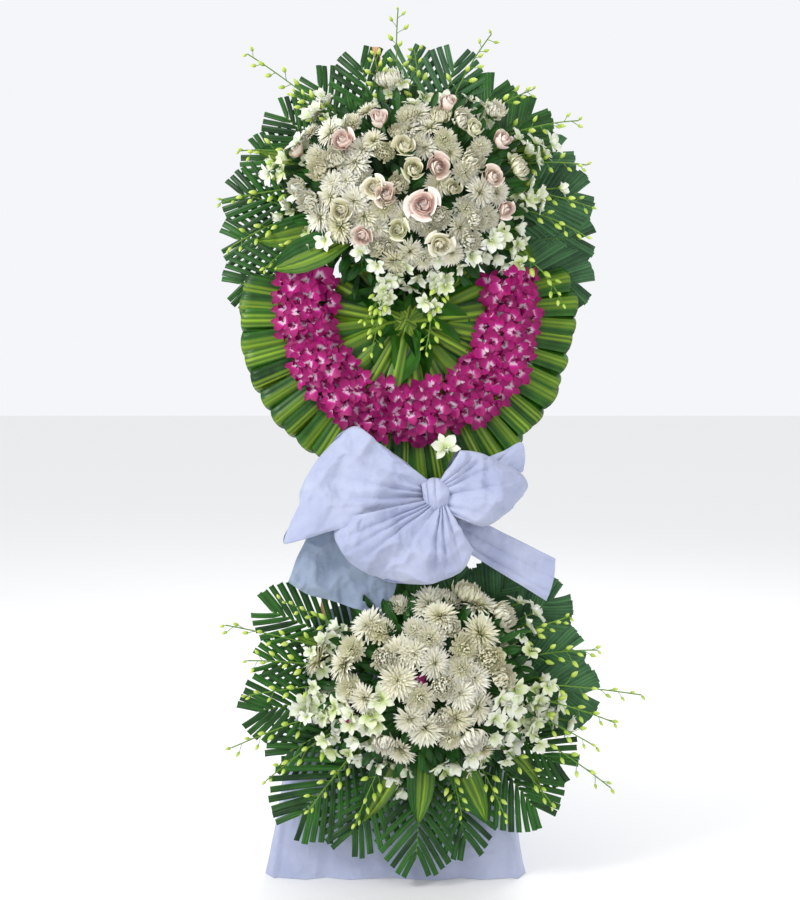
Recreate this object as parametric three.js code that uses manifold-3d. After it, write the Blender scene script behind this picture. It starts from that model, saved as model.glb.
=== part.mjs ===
// A two-tier funeral flower stand: a tripod of three battens that leans back a little, with an upper
// ring of palm fronds, a pleated leaf collar, an orchid horseshoe and a flower dome, a fabric bow at the
// waist, a lower flower dome with fronds, and a fabric skirt round the feet.
// Millimetres, +Z up, the front faces -Y, and the origin is on the floor under the middle of the box.
import * as THREE from 'three';
import { mergeVertices } from 'three/addons/utils/BufferGeometryUtils.js';
import Module from 'manifold-3d';

const wasm = await Module();
wasm.setup();

// ---------------------------------------------------------------- driving dimensions
const GAP = 0.4;                       // air left between two pieces that touch
const LEAN = THREE.MathUtils.degToRad(6);

const BATTEN = { wide: 14, deep: 20 };
const LEG = { leftFoot: -258, rightFoot: 208, inward: 0.165, rightTop: 1658, leftTop: 1480 };
const BACK_LEG = { foot: 430, top: 1440 };
const RAIL_LOW = { height: 400, overhang: 3 };
const RAIL_HIGH = { height: 1000, overhang: 90 };
const RAIL_AIR = 2;                    // space between a rail and the leaning leg it crosses
const TIE = { low: 1424, high: 1436, wall: 2.5 };
const SKIRT = { top: 520, wall: 3, stand: 2, flare: 3 };

const FROND_RING = { x: 0, w: 1279, r: 381, root: 150, count: 8, first: -15, step: 30, d: 7 };
const PLATE = 2.5;                     // thickness of one frond or leaf plate
const COLLAR = { w: 1121, r: 337, inner: 120, leaves: 30, from: 165, to: 375, d: 16, thick: 3 };
const SHOE = { w: 1126, inner: 131, outer: 270, d: 24, top: 95, armStep: 5, arm: 15 };
const BAR = { inner: 160, outer: 240, d: 20, top: 50 };
const FAN = { r: 150, notch: 138, teeth: 12, d: 20, thick: 3 };

const UPPER = { x: 0, w: 1362, rx: 212, rw: 172, base: 98, top: 170, foam: 130, foamBack: 24 };
const LOWER = { x: 40, w: 400, rx: 185, rw: 150, base: 118, top: 222, foam: 100, foamBack: 8 };
const LOWER_FROND = { root: 106, d: 20, rise: 0.3 };
const LOWER_LEAF = { root: 106, d: 36, length: 190, half: 24 };
const ROSE = { r: 30, stem: 2.5 };
const HUB = { r: 16, d: 40 };
const HEAD = { r: 29, rise: 22 };
const UPPER_HEADS = 26;
const LOWER_HEADS = 34;

// Where each rose sits, across and up from the middle of the upper dome.
const ROSES = [
  [20, -30], [-130, 80], [-60, 115], [176, 75], [-42, -22], [62, 38], [140, 5], [186, -42],
  [-88, -95], [-10, 68], [10, 22], [-66, 0], [-20, -105], [90, -20], [-130, -48],
];

// The lower fronds: the way each one points, in degrees, and how far out it reaches.
const LOWER_FRONDS = [
  ['left_high', 156, 375], ['left', 190, 378], ['left_low', 224, 405], ['front', 265, 385],
  ['right_low', 310, 361], ['right', 355, 335], ['right_high', 33, 320],
];
const LOWER_FROND_HALF = 16;

// ---------------------------------------------------------------- materials
const finish = (color, roughness) => new THREE.MeshStandardMaterial({ color, roughness, metalness: 0 });
const wood = finish(0xb98a63, 0.75);
const wire = finish(0x5b5a56, 0.6);
const foam = finish(0x3f5a34, 0.95);
const palm = finish(0x3f6a2a, 0.55);
const striped = finish(0x4f7a24, 0.45);
const magenta = finish(0x9c1c6a, 0.6);
const white = finish(0xe9ead2, 0.6);
const blush = finish(0xe3c4b4, 0.6);
const bud = finish(0xbfd07a, 0.55);
const cloth = finish(0xc6cce2, 0.85);

// ---------------------------------------------------------------- geometry helpers
const rad = THREE.MathUtils.degToRad;
const at = (x, d, w) => new THREE.Vector3(x, -d, w);
const range = (count, f) => Array.from({ length: count }, (_, i) => f(i));

function volume(geometry) {
  const position = geometry.attributes.position;
  const index = geometry.index.array;
  const corner = (i) => new THREE.Vector3().fromBufferAttribute(position, index[i]);
  let sum = 0;
  for (let i = 0; i < index.length; i += 3) {
    sum += corner(i).dot(corner(i + 1).cross(corner(i + 2)));
  }
  return sum / 6;
}

// A closed solid that carries one flat outline through a row of stations.
function sweep(outline, stations, place) {
  const n = outline.length;
  const points = stations.flatMap((station) => outline.map((p) => place(p, station)));
  const faces = [];
  for (let s = 0; s < stations.length - 1; s += 1) {
    for (let i = 0; i < n; i += 1) {
      const a = s * n + i;
      const b = s * n + ((i + 1) % n);
      faces.push(a, b, b + n, a, b + n, a + n);
    }
  }
  const ccw = THREE.ShapeUtils.isClockWise(outline) ? -1 : 1;
  const last = (stations.length - 1) * n;
  for (const [a, b, c] of THREE.ShapeUtils.triangulateShape(outline, [])) {
    const [p, q] = ccw > 0 ? [b, c] : [c, b];
    faces.push(a, q, p, last + a, last + p, last + q);
  }
  const geometry = new THREE.BufferGeometry();
  geometry.setAttribute('position', new THREE.Float32BufferAttribute(points.flatMap((p) => p.toArray()), 3));
  geometry.setIndex(faces);
  if (volume(geometry) < 0) {
    faces.reverse();
    geometry.setIndex(faces);
  }
  return geometry;
}

function solid(geometry) {
  const bare = geometry.clone();
  bare.deleteAttribute('normal');
  bare.deleteAttribute('uv');
  const merged = mergeVertices(bare, 1e-4);
  const vertProperties = new Float32Array(merged.attributes.position.array);
  const triVerts = new Uint32Array(merged.index.array);
  return new wasm.Manifold(new wasm.Mesh({ numProp: 3, vertProperties, triVerts }));
}

function surface(body) {
  const mesh = body.getMesh();
  const geometry = new THREE.BufferGeometry();
  geometry.setAttribute('position', new THREE.Float32BufferAttribute(mesh.vertProperties, 3));
  geometry.setIndex(new THREE.Uint32BufferAttribute(mesh.triVerts, 1));
  return geometry;
}

const join = (geometries) => surface(geometries.map(solid).reduce((a, b) => a.add(b)));
const cut = (host, guests) => surface(guests.map(solid).reduce((a, b) => a.subtract(b), solid(host)));

const outlineOf = (pairs) => pairs.map(([u, v]) => new THREE.Vector2(u, v));
const circle = (sides, r) => range(sides, (i) => new THREE.Vector2(
  r * Math.cos((2 * Math.PI * i) / sides),
  r * Math.sin((2 * Math.PI * i) / sides),
));

// A plate with a flat outline across and up, from depth d forwards.
function plate(outline, d, thick) {
  return sweep(outline, [d, d + thick], (p, depth) => at(p.x, depth, p.y));
}

// A round lump with its own radii across, forwards and up.
function lump([x, d, w], [rx, rd, rw], sides = 6, rings = 4) {
  const sphere = new THREE.SphereGeometry(1, sides, rings);
  sphere.scale(rx, rd, rw);
  sphere.translate(x, -d, w);
  return sphere;
}

// A straight or curved round rod through points, with its own closed ends.
function rod(curve, r, steps, sides = 5) {
  const outline = new THREE.Shape(circle(sides, r));
  return new THREE.ExtrudeGeometry(outline, { steps, bevelEnabled: false, extrudePath: curve });
}

// ---------------------------------------------------------------- tripod
// Every batten is cut level at both ends, so the legs stand flat on the floor.
function batten(foot, head, wide, deep) {
  const section = outlineOf([[-wide / 2, -deep / 2], [wide / 2, -deep / 2], [wide / 2, deep / 2], [-wide / 2, deep / 2]]);
  return sweep(section, [foot, head], (p, end) => new THREE.Vector3(end.x + p.x, end.y + p.y, end.z));
}

const leanBack = (z) => z * Math.tan(LEAN);
const rightLegX = (z) => LEG.rightFoot - LEG.inward * z;
const leftLegX = (z) => LEG.leftFoot + LEG.inward * z;
const rightLegY = (z) => leanBack(z) + BATTEN.deep / 2;
const leftLegY = (z) => rightLegY(z) + BATTEN.deep + GAP;
const BACK_LEG_X = (LEG.leftFoot + LEG.rightFoot) / 2;
const backLegHead = leftLegY(BACK_LEG.top) + BATTEN.deep + GAP;
const backLegY = (z) => BACK_LEG.foot + ((backLegHead - BACK_LEG.foot) * z) / BACK_LEG.top;

function frontLeg(xAt, yAt, top) {
  const end = (z) => new THREE.Vector3(xAt(z), yAt(z), z);
  return batten(end(0), end(top), BATTEN.wide, BATTEN.deep);
}

function backLeg() {
  const end = (z) => new THREE.Vector3(BACK_LEG_X, backLegY(z), z);
  return batten(end(0), end(BACK_LEG.top), BATTEN.wide, BATTEN.deep);
}

// A rail lies on the back faces of the two front legs, so it runs a little askew.
function rail({ height, overhang }) {
  const half = BATTEN.wide / 2;
  const section = outlineOf([[0, -half], [half, -half], [half, half], [0, half]]);
  const [left, right] = [leftLegX(height) - overhang, rightLegX(height) + overhang];
  const slope = (leftLegY(height) - rightLegY(height)) / (leftLegX(height) - rightLegX(height));
  const backOf = (x) => rightLegY(height) + slope * (x - rightLegX(height)) + BATTEN.deep / 2;
  return sweep(section, [left, right], (p, x) => new THREE.Vector3(x, backOf(x) + p.x + RAIL_AIR, height + p.y));
}

// The stretcher runs from the low rail back to the back leg and keeps the feet apart.
function stretcher() {
  const height = RAIL_LOW.height;
  const half = BATTEN.wide / 2;
  const front = leftLegY(height) + BATTEN.deep / 2 + half + RAIL_AIR;
  const back = backLegY(height) - BATTEN.deep / 2 - RAIL_AIR;
  const section = outlineOf([[-half, -half], [half, -half], [half, half], [-half, half]]);
  return sweep(section, [front, back], (p, y) => new THREE.Vector3(BACK_LEG_X + p.x, y, height + p.y));
}

function tie() {
  const xs = [rightLegX(TIE.high), leftLegX(TIE.high), rightLegX(TIE.low), leftLegX(TIE.low)];
  const left = Math.min(...xs) - BATTEN.wide / 2 - GAP;
  const right = Math.max(...xs) + BATTEN.wide / 2 + GAP;
  const front = leanBack(TIE.low) - GAP;
  const back = backLegY(TIE.low) + BATTEN.deep / 2 + GAP;
  const box = (grow, low, high) => {
    const corners = [[left - grow, front - grow], [right + grow, front - grow],
      [right + grow, back + grow], [left - grow, back + grow]];
    return sweep(outlineOf(corners), [low, high], (p, z) => new THREE.Vector3(p.x, p.y, z));
  };
  return cut(box(TIE.wall, TIE.low, TIE.high), [box(0, TIE.low - 1, TIE.high + 1)]);
}

// ---------------------------------------------------------------- skirt
// Each panel is a thin wall that follows a row of corners from the floor up behind the lower dome.
function panel(cornersAt, thicken) {
  const count = cornersAt(0).length;
  const outer = range(count, (i) => [i, 0]);
  const inner = range(count, (i) => [count - 1 - i, 1]);
  return sweep(outlineOf([...outer, ...inner]), [0, SKIRT.top], (p, z) => {
    const corner = cornersAt(z)[p.x].clone().addScaledVector(thicken, p.y * SKIRT.wall);
    return new THREE.Vector3(corner.x, corner.y, z);
  });
}

const skirtSpread = (z) => SKIRT.wall + SKIRT.stand + SKIRT.flare * (1 - z / SKIRT.top);
const skirtFront = (z) => leanBack(z) - SKIRT.stand - SKIRT.wall;
const skirtX = (z, side) => {
  const leg = side < 0 ? leftLegX(z) : rightLegX(z);
  return leg + side * (BATTEN.wide / 2 + skirtSpread(z));
};

function skirtFrontPanel() {
  const cornersAt = (z) => [-1, 1].map((side) => new THREE.Vector2(skirtX(z, side), skirtFront(z)));
  return panel(cornersAt, new THREE.Vector2(0, 1));
}

// A side panel runs straight back past its front leg and then in to the back leg.
function skirtSidePanel(side) {
  const cornersAt = (z) => {
    const legBack = (side < 0 ? leftLegY(z) : rightLegY(z)) + BATTEN.deep / 2 + SKIRT.stand;
    return [
      new THREE.Vector2(skirtX(z, side), skirtFront(z) + SKIRT.wall + GAP),
      new THREE.Vector2(skirtX(z, side), legBack),
      new THREE.Vector2(
        BACK_LEG_X + side * (BATTEN.wide / 2 + SKIRT.wall + SKIRT.stand),
        backLegY(z) + BATTEN.deep / 2,
      ),
    ];
  };
  return panel(cornersAt, new THREE.Vector2(-side, 0));
}

// ---------------------------------------------------------------- leaves
// A palm frond: a midrib with slanting leaflets, cut to a round outline and kept inside its own wedge.
function frondOutline(root, reach, halfAngle) {
  const rib = 3;
  const slant = rad(35);
  const halfBlade = 6;
  const pitch = 30;
  const foot = halfBlade / Math.sin(slant);
  const count = Math.floor((reach - root - 2 * foot) / pitch);
  const side = (k) => {
    const u = root + foot + (k + 0.3) * pitch;
    const toWedge = (u * Math.tan(halfAngle)) / (Math.sin(slant) - Math.cos(slant) * Math.tan(halfAngle));
    const along = u * Math.cos(slant);
    const toCircle = Math.sqrt(along * along + reach * reach - u * u) - along;
    const length = Math.min(toWedge > 0 ? toWedge : Infinity, toCircle) - halfBlade * 1.5;
    const tipU = u + length * Math.cos(slant);
    const tipV = rib + length * Math.sin(slant);
    const inner = [tipU - halfBlade * Math.sin(slant) * 0.5, tipV - 1];
    return [[u - foot, rib], inner, [tipU + foot * 0.5, tipV - 3], [u + foot, rib]];
  };
  const upper = range(count, side).flat();
  const lower = upper.map(([u, v]) => [u, -v]).reverse();
  return [[root, rib], ...upper, [reach, 0], ...lower, [root, -rib]];
}

function turned(pairs, angle, x, w) {
  const c = Math.cos(angle);
  const s = Math.sin(angle);
  return outlineOf(pairs.map(([u, v]) => [x + u * c - v * s, w + u * s + v * c]));
}

function upperFrond(i) {
  const angle = rad(FROND_RING.first + FROND_RING.step * i);
  const outline = frondOutline(FROND_RING.root, FROND_RING.r, rad(FROND_RING.step / 2 - 1));
  return plate(turned(outline, angle, FROND_RING.x, FROND_RING.w), FROND_RING.d, PLATE);
}

// A leaf plate that comes forwards as it runs out from the lower foam.
function slopedPlate(pairs, angle, root, d) {
  const c = Math.cos(angle);
  const s = Math.sin(angle);
  return sweep(outlineOf(pairs), [0, PLATE], (p, lift) => at(
    LOWER.x + p.x * c - p.y * s,
    d + lift + (p.x - root) * LOWER_FROND.rise,
    LOWER.w + p.x * s + p.y * c,
  ));
}

function lowerFrond(angle, reach) {
  const outline = frondOutline(LOWER_FROND.root, reach, rad(LOWER_FROND_HALF));
  return slopedPlate(outline, rad(angle), LOWER_FROND.root, LOWER_FROND.d);
}

function broadLeafOutline(root, length, half) {
  const widths = [0.25, 0.7, 1, 0.95, 0.6, 0.12];
  const upper = widths.map((k, i) => [root + (length * i) / (widths.length - 1), half * k]);
  return [...upper, ...upper.map(([u, v]) => [u, -v]).reverse()];
}

function upperLeaf(angle) {
  const outline = broadLeafOutline(UPPER.foam + 4, 180, 26);
  return plate(turned(outline, rad(angle), UPPER.x, UPPER.w), UPPER.foamBack + 4, PLATE);
}

function lowerLeaf(angle) {
  const outline = broadLeafOutline(LOWER_LEAF.root, LOWER_LEAF.length, LOWER_LEAF.half);
  return slopedPlate(outline, rad(angle), LOWER_LEAF.root, LOWER_LEAF.d);
}

// One third of the collar: folded leaves side by side, each with its own point on the rim.
function collarSector(third) {
  const count = COLLAR.leaves / 3;
  const step = rad((COLLAR.to - COLLAR.from) / COLLAR.leaves);
  const start = rad(COLLAR.from) + third * count * step;
  const gap = third > 0 ? 0.003 : 0;
  const polar = (r, a) => new THREE.Vector2(r * Math.cos(a), COLLAR.w + r * Math.sin(a));
  const rim = range(count, (i) => [
    polar(COLLAR.r - 14, start + step * i + (i === 0 ? gap : 0)),
    polar(COLLAR.r, start + step * (i + 0.5)),
  ]).flat();
  const end = start + step * count;
  const inner = range(4, (i) => polar(COLLAR.inner, end - ((end - start - gap) * i) / 3));
  return plate([...rim, polar(COLLAR.r - 14, end), ...inner], COLLAR.d, COLLAR.thick);
}

function fanLeaves() {
  const outline = range(FAN.teeth * 2, (i) => {
    const r = i % 2 === 0 ? FAN.r : FAN.notch;
    const a = (Math.PI * i) / FAN.teeth;
    return new THREE.Vector2(r * Math.cos(a), SHOE.w + r * Math.sin(a));
  });
  return plate(outline, FAN.d, FAN.thick);
}

// ---------------------------------------------------------------- horseshoe
// The horseshoe runs down the left arm, round the bottom and up the right arm. Its stations are degrees
// round the arc; those past the two ends of the half circle climb straight up the arms.
function shoePoint(r, d, station) {
  const a = Math.min(Math.max(station, 180), 360);
  const climb = Math.abs(station - a) * SHOE.armStep;
  return at(r * Math.cos(rad(a)), d, SHOE.w + r * Math.sin(rad(a)) + climb);
}

const SHOE_THIRDS = { left: [180 - SHOE.arm, 180, 192, 208, 224.9],
  bottom: [225.1, 240, 255, 270, 285, 300, 314.9],
  right: [315.1, 332, 348, 360, 360 + SHOE.arm] };

function foamBar(third) {
  const { inner, outer, d, top } = BAR;
  const section = outlineOf([[inner, d], [outer, d], [outer, top], [inner, top]]);
  return sweep(section, SHOE_THIRDS[third], (p, station) => shoePoint(p.x, p.y, station));
}

function purpleOrchids(third) {
  const { inner, outer, d, top } = SHOE;
  const middle = (inner + outer) / 2;
  const crown = [[inner, d], [inner + 2, 60], [inner + 20, 84], [middle, top], [outer - 20, 84], [outer - 2, 60], [outer, d]];
  const pocket = [[BAR.outer + 1, d], [BAR.outer + 1, BAR.top + GAP], [BAR.inner - 1, BAR.top + GAP], [BAR.inner - 1, d]];
  const section = outlineOf([...crown, ...pocket]);
  return sweep(section, SHOE_THIRDS[third], (p, station) => shoePoint(p.x, p.y, station));
}

// ---------------------------------------------------------------- flower domes
function foamBlock({ x, w, base, foam: r, foamBack }) {
  return sweep(circle(16, r), [foamBack, base - GAP], (p, d) => at(x + p.x, d, w + p.y));
}

function domePoint(tier, u, v) {
  const out = Math.hypot(u / tier.rx, v / tier.rw);
  const rise = Math.sqrt(Math.max(0, 1 - out * out));
  return [tier.x + u, tier.base + (tier.top - tier.base) * rise, tier.w + v];
}

function domeBody(tier) {
  const steps = [[1, 0], [0.94, 0.34], [0.77, 0.64], [0.5, 0.87]];
  const stations = steps.map(([r, rise]) => ({ r, d: tier.base + (tier.top - tier.base) * rise }));
  return sweep(circle(18, 1), stations, (p, s) => at(tier.x + p.x * tier.rx * s.r, s.d, tier.w + p.y * tier.rw * s.r));
}

// Flower heads are spread over the dome in the even spiral in which seeds fill a sunflower.
function headPlaces(tier, count) {
  const turn = rad(137.508);
  return range(count, (i) => {
    const out = Math.sqrt((i + 0.5) / count) * 0.93;
    return domePoint(tier, tier.rx * out * Math.cos(i * turn), tier.rw * out * Math.sin(i * turn));
  });
}

function chrysanthemums(tier, count) {
  const heads = headPlaces(tier, count).map(([x, d, w]) => lump(
    [x, Math.max(d + 4, tier.base + HEAD.rise + 2), w],
    [HEAD.r, HEAD.rise, HEAD.r],
    6,
    3,
  ));
  return join([domeBody(tier), ...heads]);
}

function roseSet(grow) {
  const hub = lump([UPPER.x, HUB.d, UPPER.w], [HUB.r + grow, HUB.r + grow, HUB.r + grow]);
  const roses = ROSES.flatMap(([u, v]) => {
    const [x, d, w] = domePoint(UPPER, u, v);
    const head = lump([x, d + 14, w], [ROSE.r + grow, ROSE.r * 0.85 + grow, ROSE.r + grow]);
    const stem = rod(new THREE.LineCurve3(at(UPPER.x, HUB.d, UPPER.w), at(x, d, w)), ROSE.stem + grow, 1, 4);
    return [head, stem];
  });
  return [hub, ...roses];
}

// ---------------------------------------------------------------- orchid stems
// A stem that bends from its root to its tip, with buds towards the tip and open blooms before them.
function orchidSpray(root, tip, bend, blooms = 2) {
  const a = at(...root);
  const b = at(...tip);
  const middle = a.clone().lerp(b, 0.5).add(at(...bend));
  const curve = new THREE.QuadraticBezierCurve3(a, middle, b);
  const stem = rod(curve, 2.5, 5, 4);
  const across = new THREE.Vector3(0, 1, 0).cross(b.clone().sub(a)).normalize();
  const bead = (t, side, r) => {
    const p = curve.getPoint(t).addScaledVector(across, side * r * 0.6);
    return lump([p.x, -p.y, p.z], [r, r, r], 5, 3);
  };
  const buds = range(4, (i) => bead(0.62 + 0.1 * i, i % 2 ? 1 : -1, 8 - i));
  const open = range(blooms, (i) => bead(0.5 - 0.15 * i, i % 2 ? 1 : -1, 14));
  return join([stem, ...buds, ...open, bead(1, 0, 4)]);
}

const UPPER_SPRAYS = {
  top: [[-10, 60, UPPER.w + 134], [-20, 88, 1719], [-14, 5, 0]],
  top_left: [[-88, 60, UPPER.w + 100], [-318, 92, 1630], [-20, 10, 26]],
  top_right: [[64, 60, UPPER.w + 118], [165, 88, 1672], [-16, 8, 10]],
  left: [[-134, 60, UPPER.w + 10], [-372, 84, 1338], [0, 6, 20]],
  right: [[134, 60, UPPER.w + 10], [362, 84, 1330], [0, 6, 20]],
  hanging: [[-30, 60, UPPER.w - 134], [-66, 50, 1042], [-12, 6, 0]],
};

// Lower stems: the way each one points from the lower foam, in degrees, and how far out it reaches.
const LOWER_SPRAYS = { left_high: [163, 410], left_low: [197, 398], right: [358, 408], right_low: [331, 400] };

function lowerSpray(angle, reach) {
  const c = Math.cos(rad(angle));
  const s = Math.sin(rad(angle));
  const point = (r, d) => [LOWER.x + r * c, d, LOWER.w + r * s];
  const root = LOWER.foam + 4;
  return orchidSpray(point(root, 74), point(reach, 74 + (reach - root) * 0.3), [0, 0, 12], 1);
}

// ---------------------------------------------------------------- bow
const PILLOWS = {
  knot: [[54, 150, 763], [34, 38, 36]],
  loop_left: [[-92, 150, 795], [128, 42, 98]],
  loop_right: [[150, 148, 798], [78, 36, 70]],
  puff: [[-10, 160, 690], [122, 48, 84]],
};

const pillow = (name, grow = 0) => lump(PILLOWS[name][0], PILLOWS[name][1].map((r) => r + grow), 14, 9);
const bowPiece = (name, ...inFront) => cut(pillow(name), inFront.map((other) => pillow(other, GAP)));

function bowTail(outline) {
  return plate(outlineOf(outline), SHOE.top + 2, 3);
}

// ---------------------------------------------------------------- assembly
const stand = new THREE.Group();
const easel = new THREE.Group();
easel.rotation.x = -LEAN;
stand.add(easel);

function add(parent, name, geometry, material) {
  const mesh = new THREE.Mesh(geometry, material);
  mesh.name = name;
  parent.add(mesh);
}

add(stand, 'leg_front_left', frontLeg(leftLegX, leftLegY, LEG.leftTop), wood);
add(stand, 'leg_front_right', frontLeg(rightLegX, rightLegY, LEG.rightTop), wood);
add(stand, 'leg_back', backLeg(), wood);
add(stand, 'rail_low', rail(RAIL_LOW), wood);
add(stand, 'rail_high', rail(RAIL_HIGH), wood);
add(stand, 'stretcher', stretcher(), wood);
add(stand, 'leg_tie', tie(), wire);
add(stand, 'skirt_front', skirtFrontPanel(), cloth);
add(stand, 'skirt_left', skirtSidePanel(-1), cloth);
add(stand, 'skirt_right', skirtSidePanel(1), cloth);

for (let i = 0; i < FROND_RING.count; i += 1) {
  add(easel, `palm_frond_upper_${i + 1}`, upperFrond(i), palm);
}
['right', 'bottom', 'left'].forEach((name, i) => {
  add(easel, `collar_leaves_${name}`, collarSector(2 - i), striped);
});
add(easel, 'fan_leaves', fanLeaves(), striped);
for (const third of Object.keys(SHOE_THIRDS)) {
  add(easel, `foam_bar_${third}`, foamBar(third), foam);
  add(easel, `purple_orchids_${third}`, purpleOrchids(third), magenta);
}
add(easel, 'broad_leaf_upper_left', upperLeaf(152), striped);
add(easel, 'broad_leaf_upper_right', upperLeaf(28), striped);

const roses = join(roseSet(0));
add(easel, 'roses', roses, blush);
add(easel, 'foam_upper', cut(foamBlock(UPPER), roseSet(GAP)), foam);
add(easel, 'chrysanthemums_upper', cut(chrysanthemums(UPPER, UPPER_HEADS), roseSet(GAP)), white);
for (const [name, [root, tip, bend]] of Object.entries(UPPER_SPRAYS)) {
  add(easel, `orchid_spray_upper_${name}`, orchidSpray(root, tip, bend), bud);
}

add(easel, 'foam_lower', foamBlock(LOWER), foam);
add(easel, 'chrysanthemums_lower', chrysanthemums(LOWER, LOWER_HEADS), white);
for (const [name, angle, reach] of LOWER_FRONDS) {
  add(easel, `palm_frond_lower_${name}`, lowerFrond(angle, reach), palm);
}
add(easel, 'broad_leaf_lower_left', lowerLeaf(246), striped);
add(easel, 'broad_leaf_lower_right', lowerLeaf(288), striped);
for (const [name, [angle, reach]] of Object.entries(LOWER_SPRAYS)) {
  add(easel, `orchid_spray_lower_${name}`, lowerSpray(angle, reach), bud);
}

add(easel, 'bow_knot', pillow('knot'), cloth);
add(easel, 'bow_loop_left', bowPiece('loop_left', 'knot', 'puff'), cloth);
add(easel, 'bow_loop_right', bowPiece('loop_right', 'knot', 'puff'), cloth);
add(easel, 'bow_puff', bowPiece('puff', 'knot'), cloth);
add(easel, 'bow_tail_left', bowTail([[-190, 740], [-80, 720], [-45, 531], [-236, 588]]), cloth);
add(easel, 'bow_tail_right', bowTail([[60, 740], [110, 748], [286, 632], [268, 562]]), cloth);

// The origin goes to the floor under the middle of the whole stand.
stand.updateMatrixWorld(true);
const middle = new THREE.Box3().setFromObject(stand, true).getCenter(new THREE.Vector3());
stand.position.set(-middle.x, -middle.y, 0);

export default stand;
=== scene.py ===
# %% [markdown]
# # A two-tier funeral flower stand
# The real thing is a tripod of battens with wet floral foam tied to it. Everything that shows is a living
# leaf or a flower pushed into that foam, apart from a bow and a skirt of non-woven cloth.
# A few leaves and flowers are modelled once each, and Geometry Nodes put the copies where a florist would.

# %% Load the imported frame
import math
import random

import bpy
import numpy as np
from mathutils import Matrix, Vector, noise


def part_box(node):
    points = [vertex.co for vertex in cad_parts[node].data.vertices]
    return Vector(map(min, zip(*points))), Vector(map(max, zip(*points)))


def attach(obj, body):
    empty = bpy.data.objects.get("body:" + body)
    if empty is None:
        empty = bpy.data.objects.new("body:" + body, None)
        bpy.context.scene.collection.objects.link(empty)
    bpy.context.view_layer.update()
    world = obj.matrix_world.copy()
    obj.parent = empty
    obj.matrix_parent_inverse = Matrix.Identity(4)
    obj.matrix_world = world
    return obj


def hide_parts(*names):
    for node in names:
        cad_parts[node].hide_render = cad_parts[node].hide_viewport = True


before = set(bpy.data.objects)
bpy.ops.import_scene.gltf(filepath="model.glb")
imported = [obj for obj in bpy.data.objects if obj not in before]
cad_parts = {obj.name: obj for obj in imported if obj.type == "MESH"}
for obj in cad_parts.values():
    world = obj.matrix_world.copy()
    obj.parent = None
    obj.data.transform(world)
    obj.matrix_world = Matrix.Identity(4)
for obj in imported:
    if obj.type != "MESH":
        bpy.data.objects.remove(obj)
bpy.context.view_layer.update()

MM = 0.001

# %% [markdown]
# ## The leaning frame of reference
# The stand leans back six degrees, so every place on it is easiest to say as a distance across, a distance
# in front of the battens and a height along them. `place` turns those three, in millimetres, into the
# stand's own frame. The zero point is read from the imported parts, so nothing has to be fitted by hand.

# %% Across, forwards, up
LEAN = math.radians(6)


def middle(node):
    low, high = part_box(node)
    return (low + high) / 2


AXIS_X = middle("foam_upper").x
FRONT_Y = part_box("leg_front_right")[0].y
EASEL = Matrix.Translation((AXIS_X, FRONT_Y, 0)) @ Matrix.Rotation(-LEAN, 4, "X")


def place(x, d, w):
    return Vector((x * MM, -d * MM, w * MM))


print("easel origin:", round(AXIS_X, 4), round(FRONT_Y, 4))

# %% [markdown]
# ## Camera
# A long lens a little above the middle of the stand, tilted down slightly, gives the same mild perspective
# as a portrait of the stand taken by a standing person about three metres away. The Standard view transform
# shows each colour as it was chosen, which a filmic one would wash out.

# %% Camera
camera_data = bpy.data.cameras.new("portrait_camera")
camera_data.sensor_fit = "HORIZONTAL"
camera_data.sensor_width = 36
camera_data.lens = 68.2
camera = bpy.data.objects.new("portrait_camera", camera_data)
camera.location = (AXIS_X - 0.016, FRONT_Y - 2.95, 1.15)
camera.rotation_euler = (math.radians(90 - 5.66), 0, 0)
bpy.context.scene.collection.objects.link(camera)
bpy.context.scene.camera = camera
bpy.context.scene.view_settings.view_transform = "Standard"

# %% [markdown]
# ## Studio
# White flowers lose their shape in flat light. A bright pale room gives the soft fill, one large lamp above
# the left shoulder gives the direction, and a weaker one opens the shadows on the right.

# %% Colours, nodes and new materials
def linear(hex_colour):
    channels = [int(hex_colour[i:i + 2], 16) / 255 for i in (0, 2, 4)]
    return [c / 12.92 if c <= 0.04045 else ((c + 0.055) / 1.055) ** 2.4 for c in channels] + [1.0]


def add_node(tree, kind, inputs=None, stops=None, **settings):
    """Adds a node, sets its properties, then fills each socket with a value, a colour or a link."""
    made = tree.nodes.new(kind)
    for name, value in settings.items():
        setattr(made, name, value)
    for key, value in (inputs or {}).items():
        socket = made.inputs[key]
        if isinstance(value, bpy.types.Node):
            tree.links.new(next(o for o in value.outputs if o.enabled), socket)
        elif isinstance(value, bpy.types.NodeSocket):
            tree.links.new(value, socket)
        elif isinstance(value, str) and socket.type == "RGBA":
            socket.default_value = linear(value)
        else:
            socket.default_value = value
    for i, (position, shade) in enumerate(stops or []):
        band = made.color_ramp.elements
        element = band[i] if i < len(band) else band.new(position)
        element.position = position
        element.color = linear(shade) if isinstance(shade, str) else [shade] * 3 + [1]
    return made


def new_material(name, **surface):
    material = bpy.data.materials.new(name)
    material.use_nodes = True
    tree = material.node_tree
    tree.nodes.clear()
    sockets = {label.replace("_", " "): value for label, value in surface.items()}
    shader = add_node(tree, "ShaderNodeBsdfPrincipled", sockets)
    add_node(tree, "ShaderNodeOutputMaterial", {"Surface": shader})
    return material, tree, shader


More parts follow.
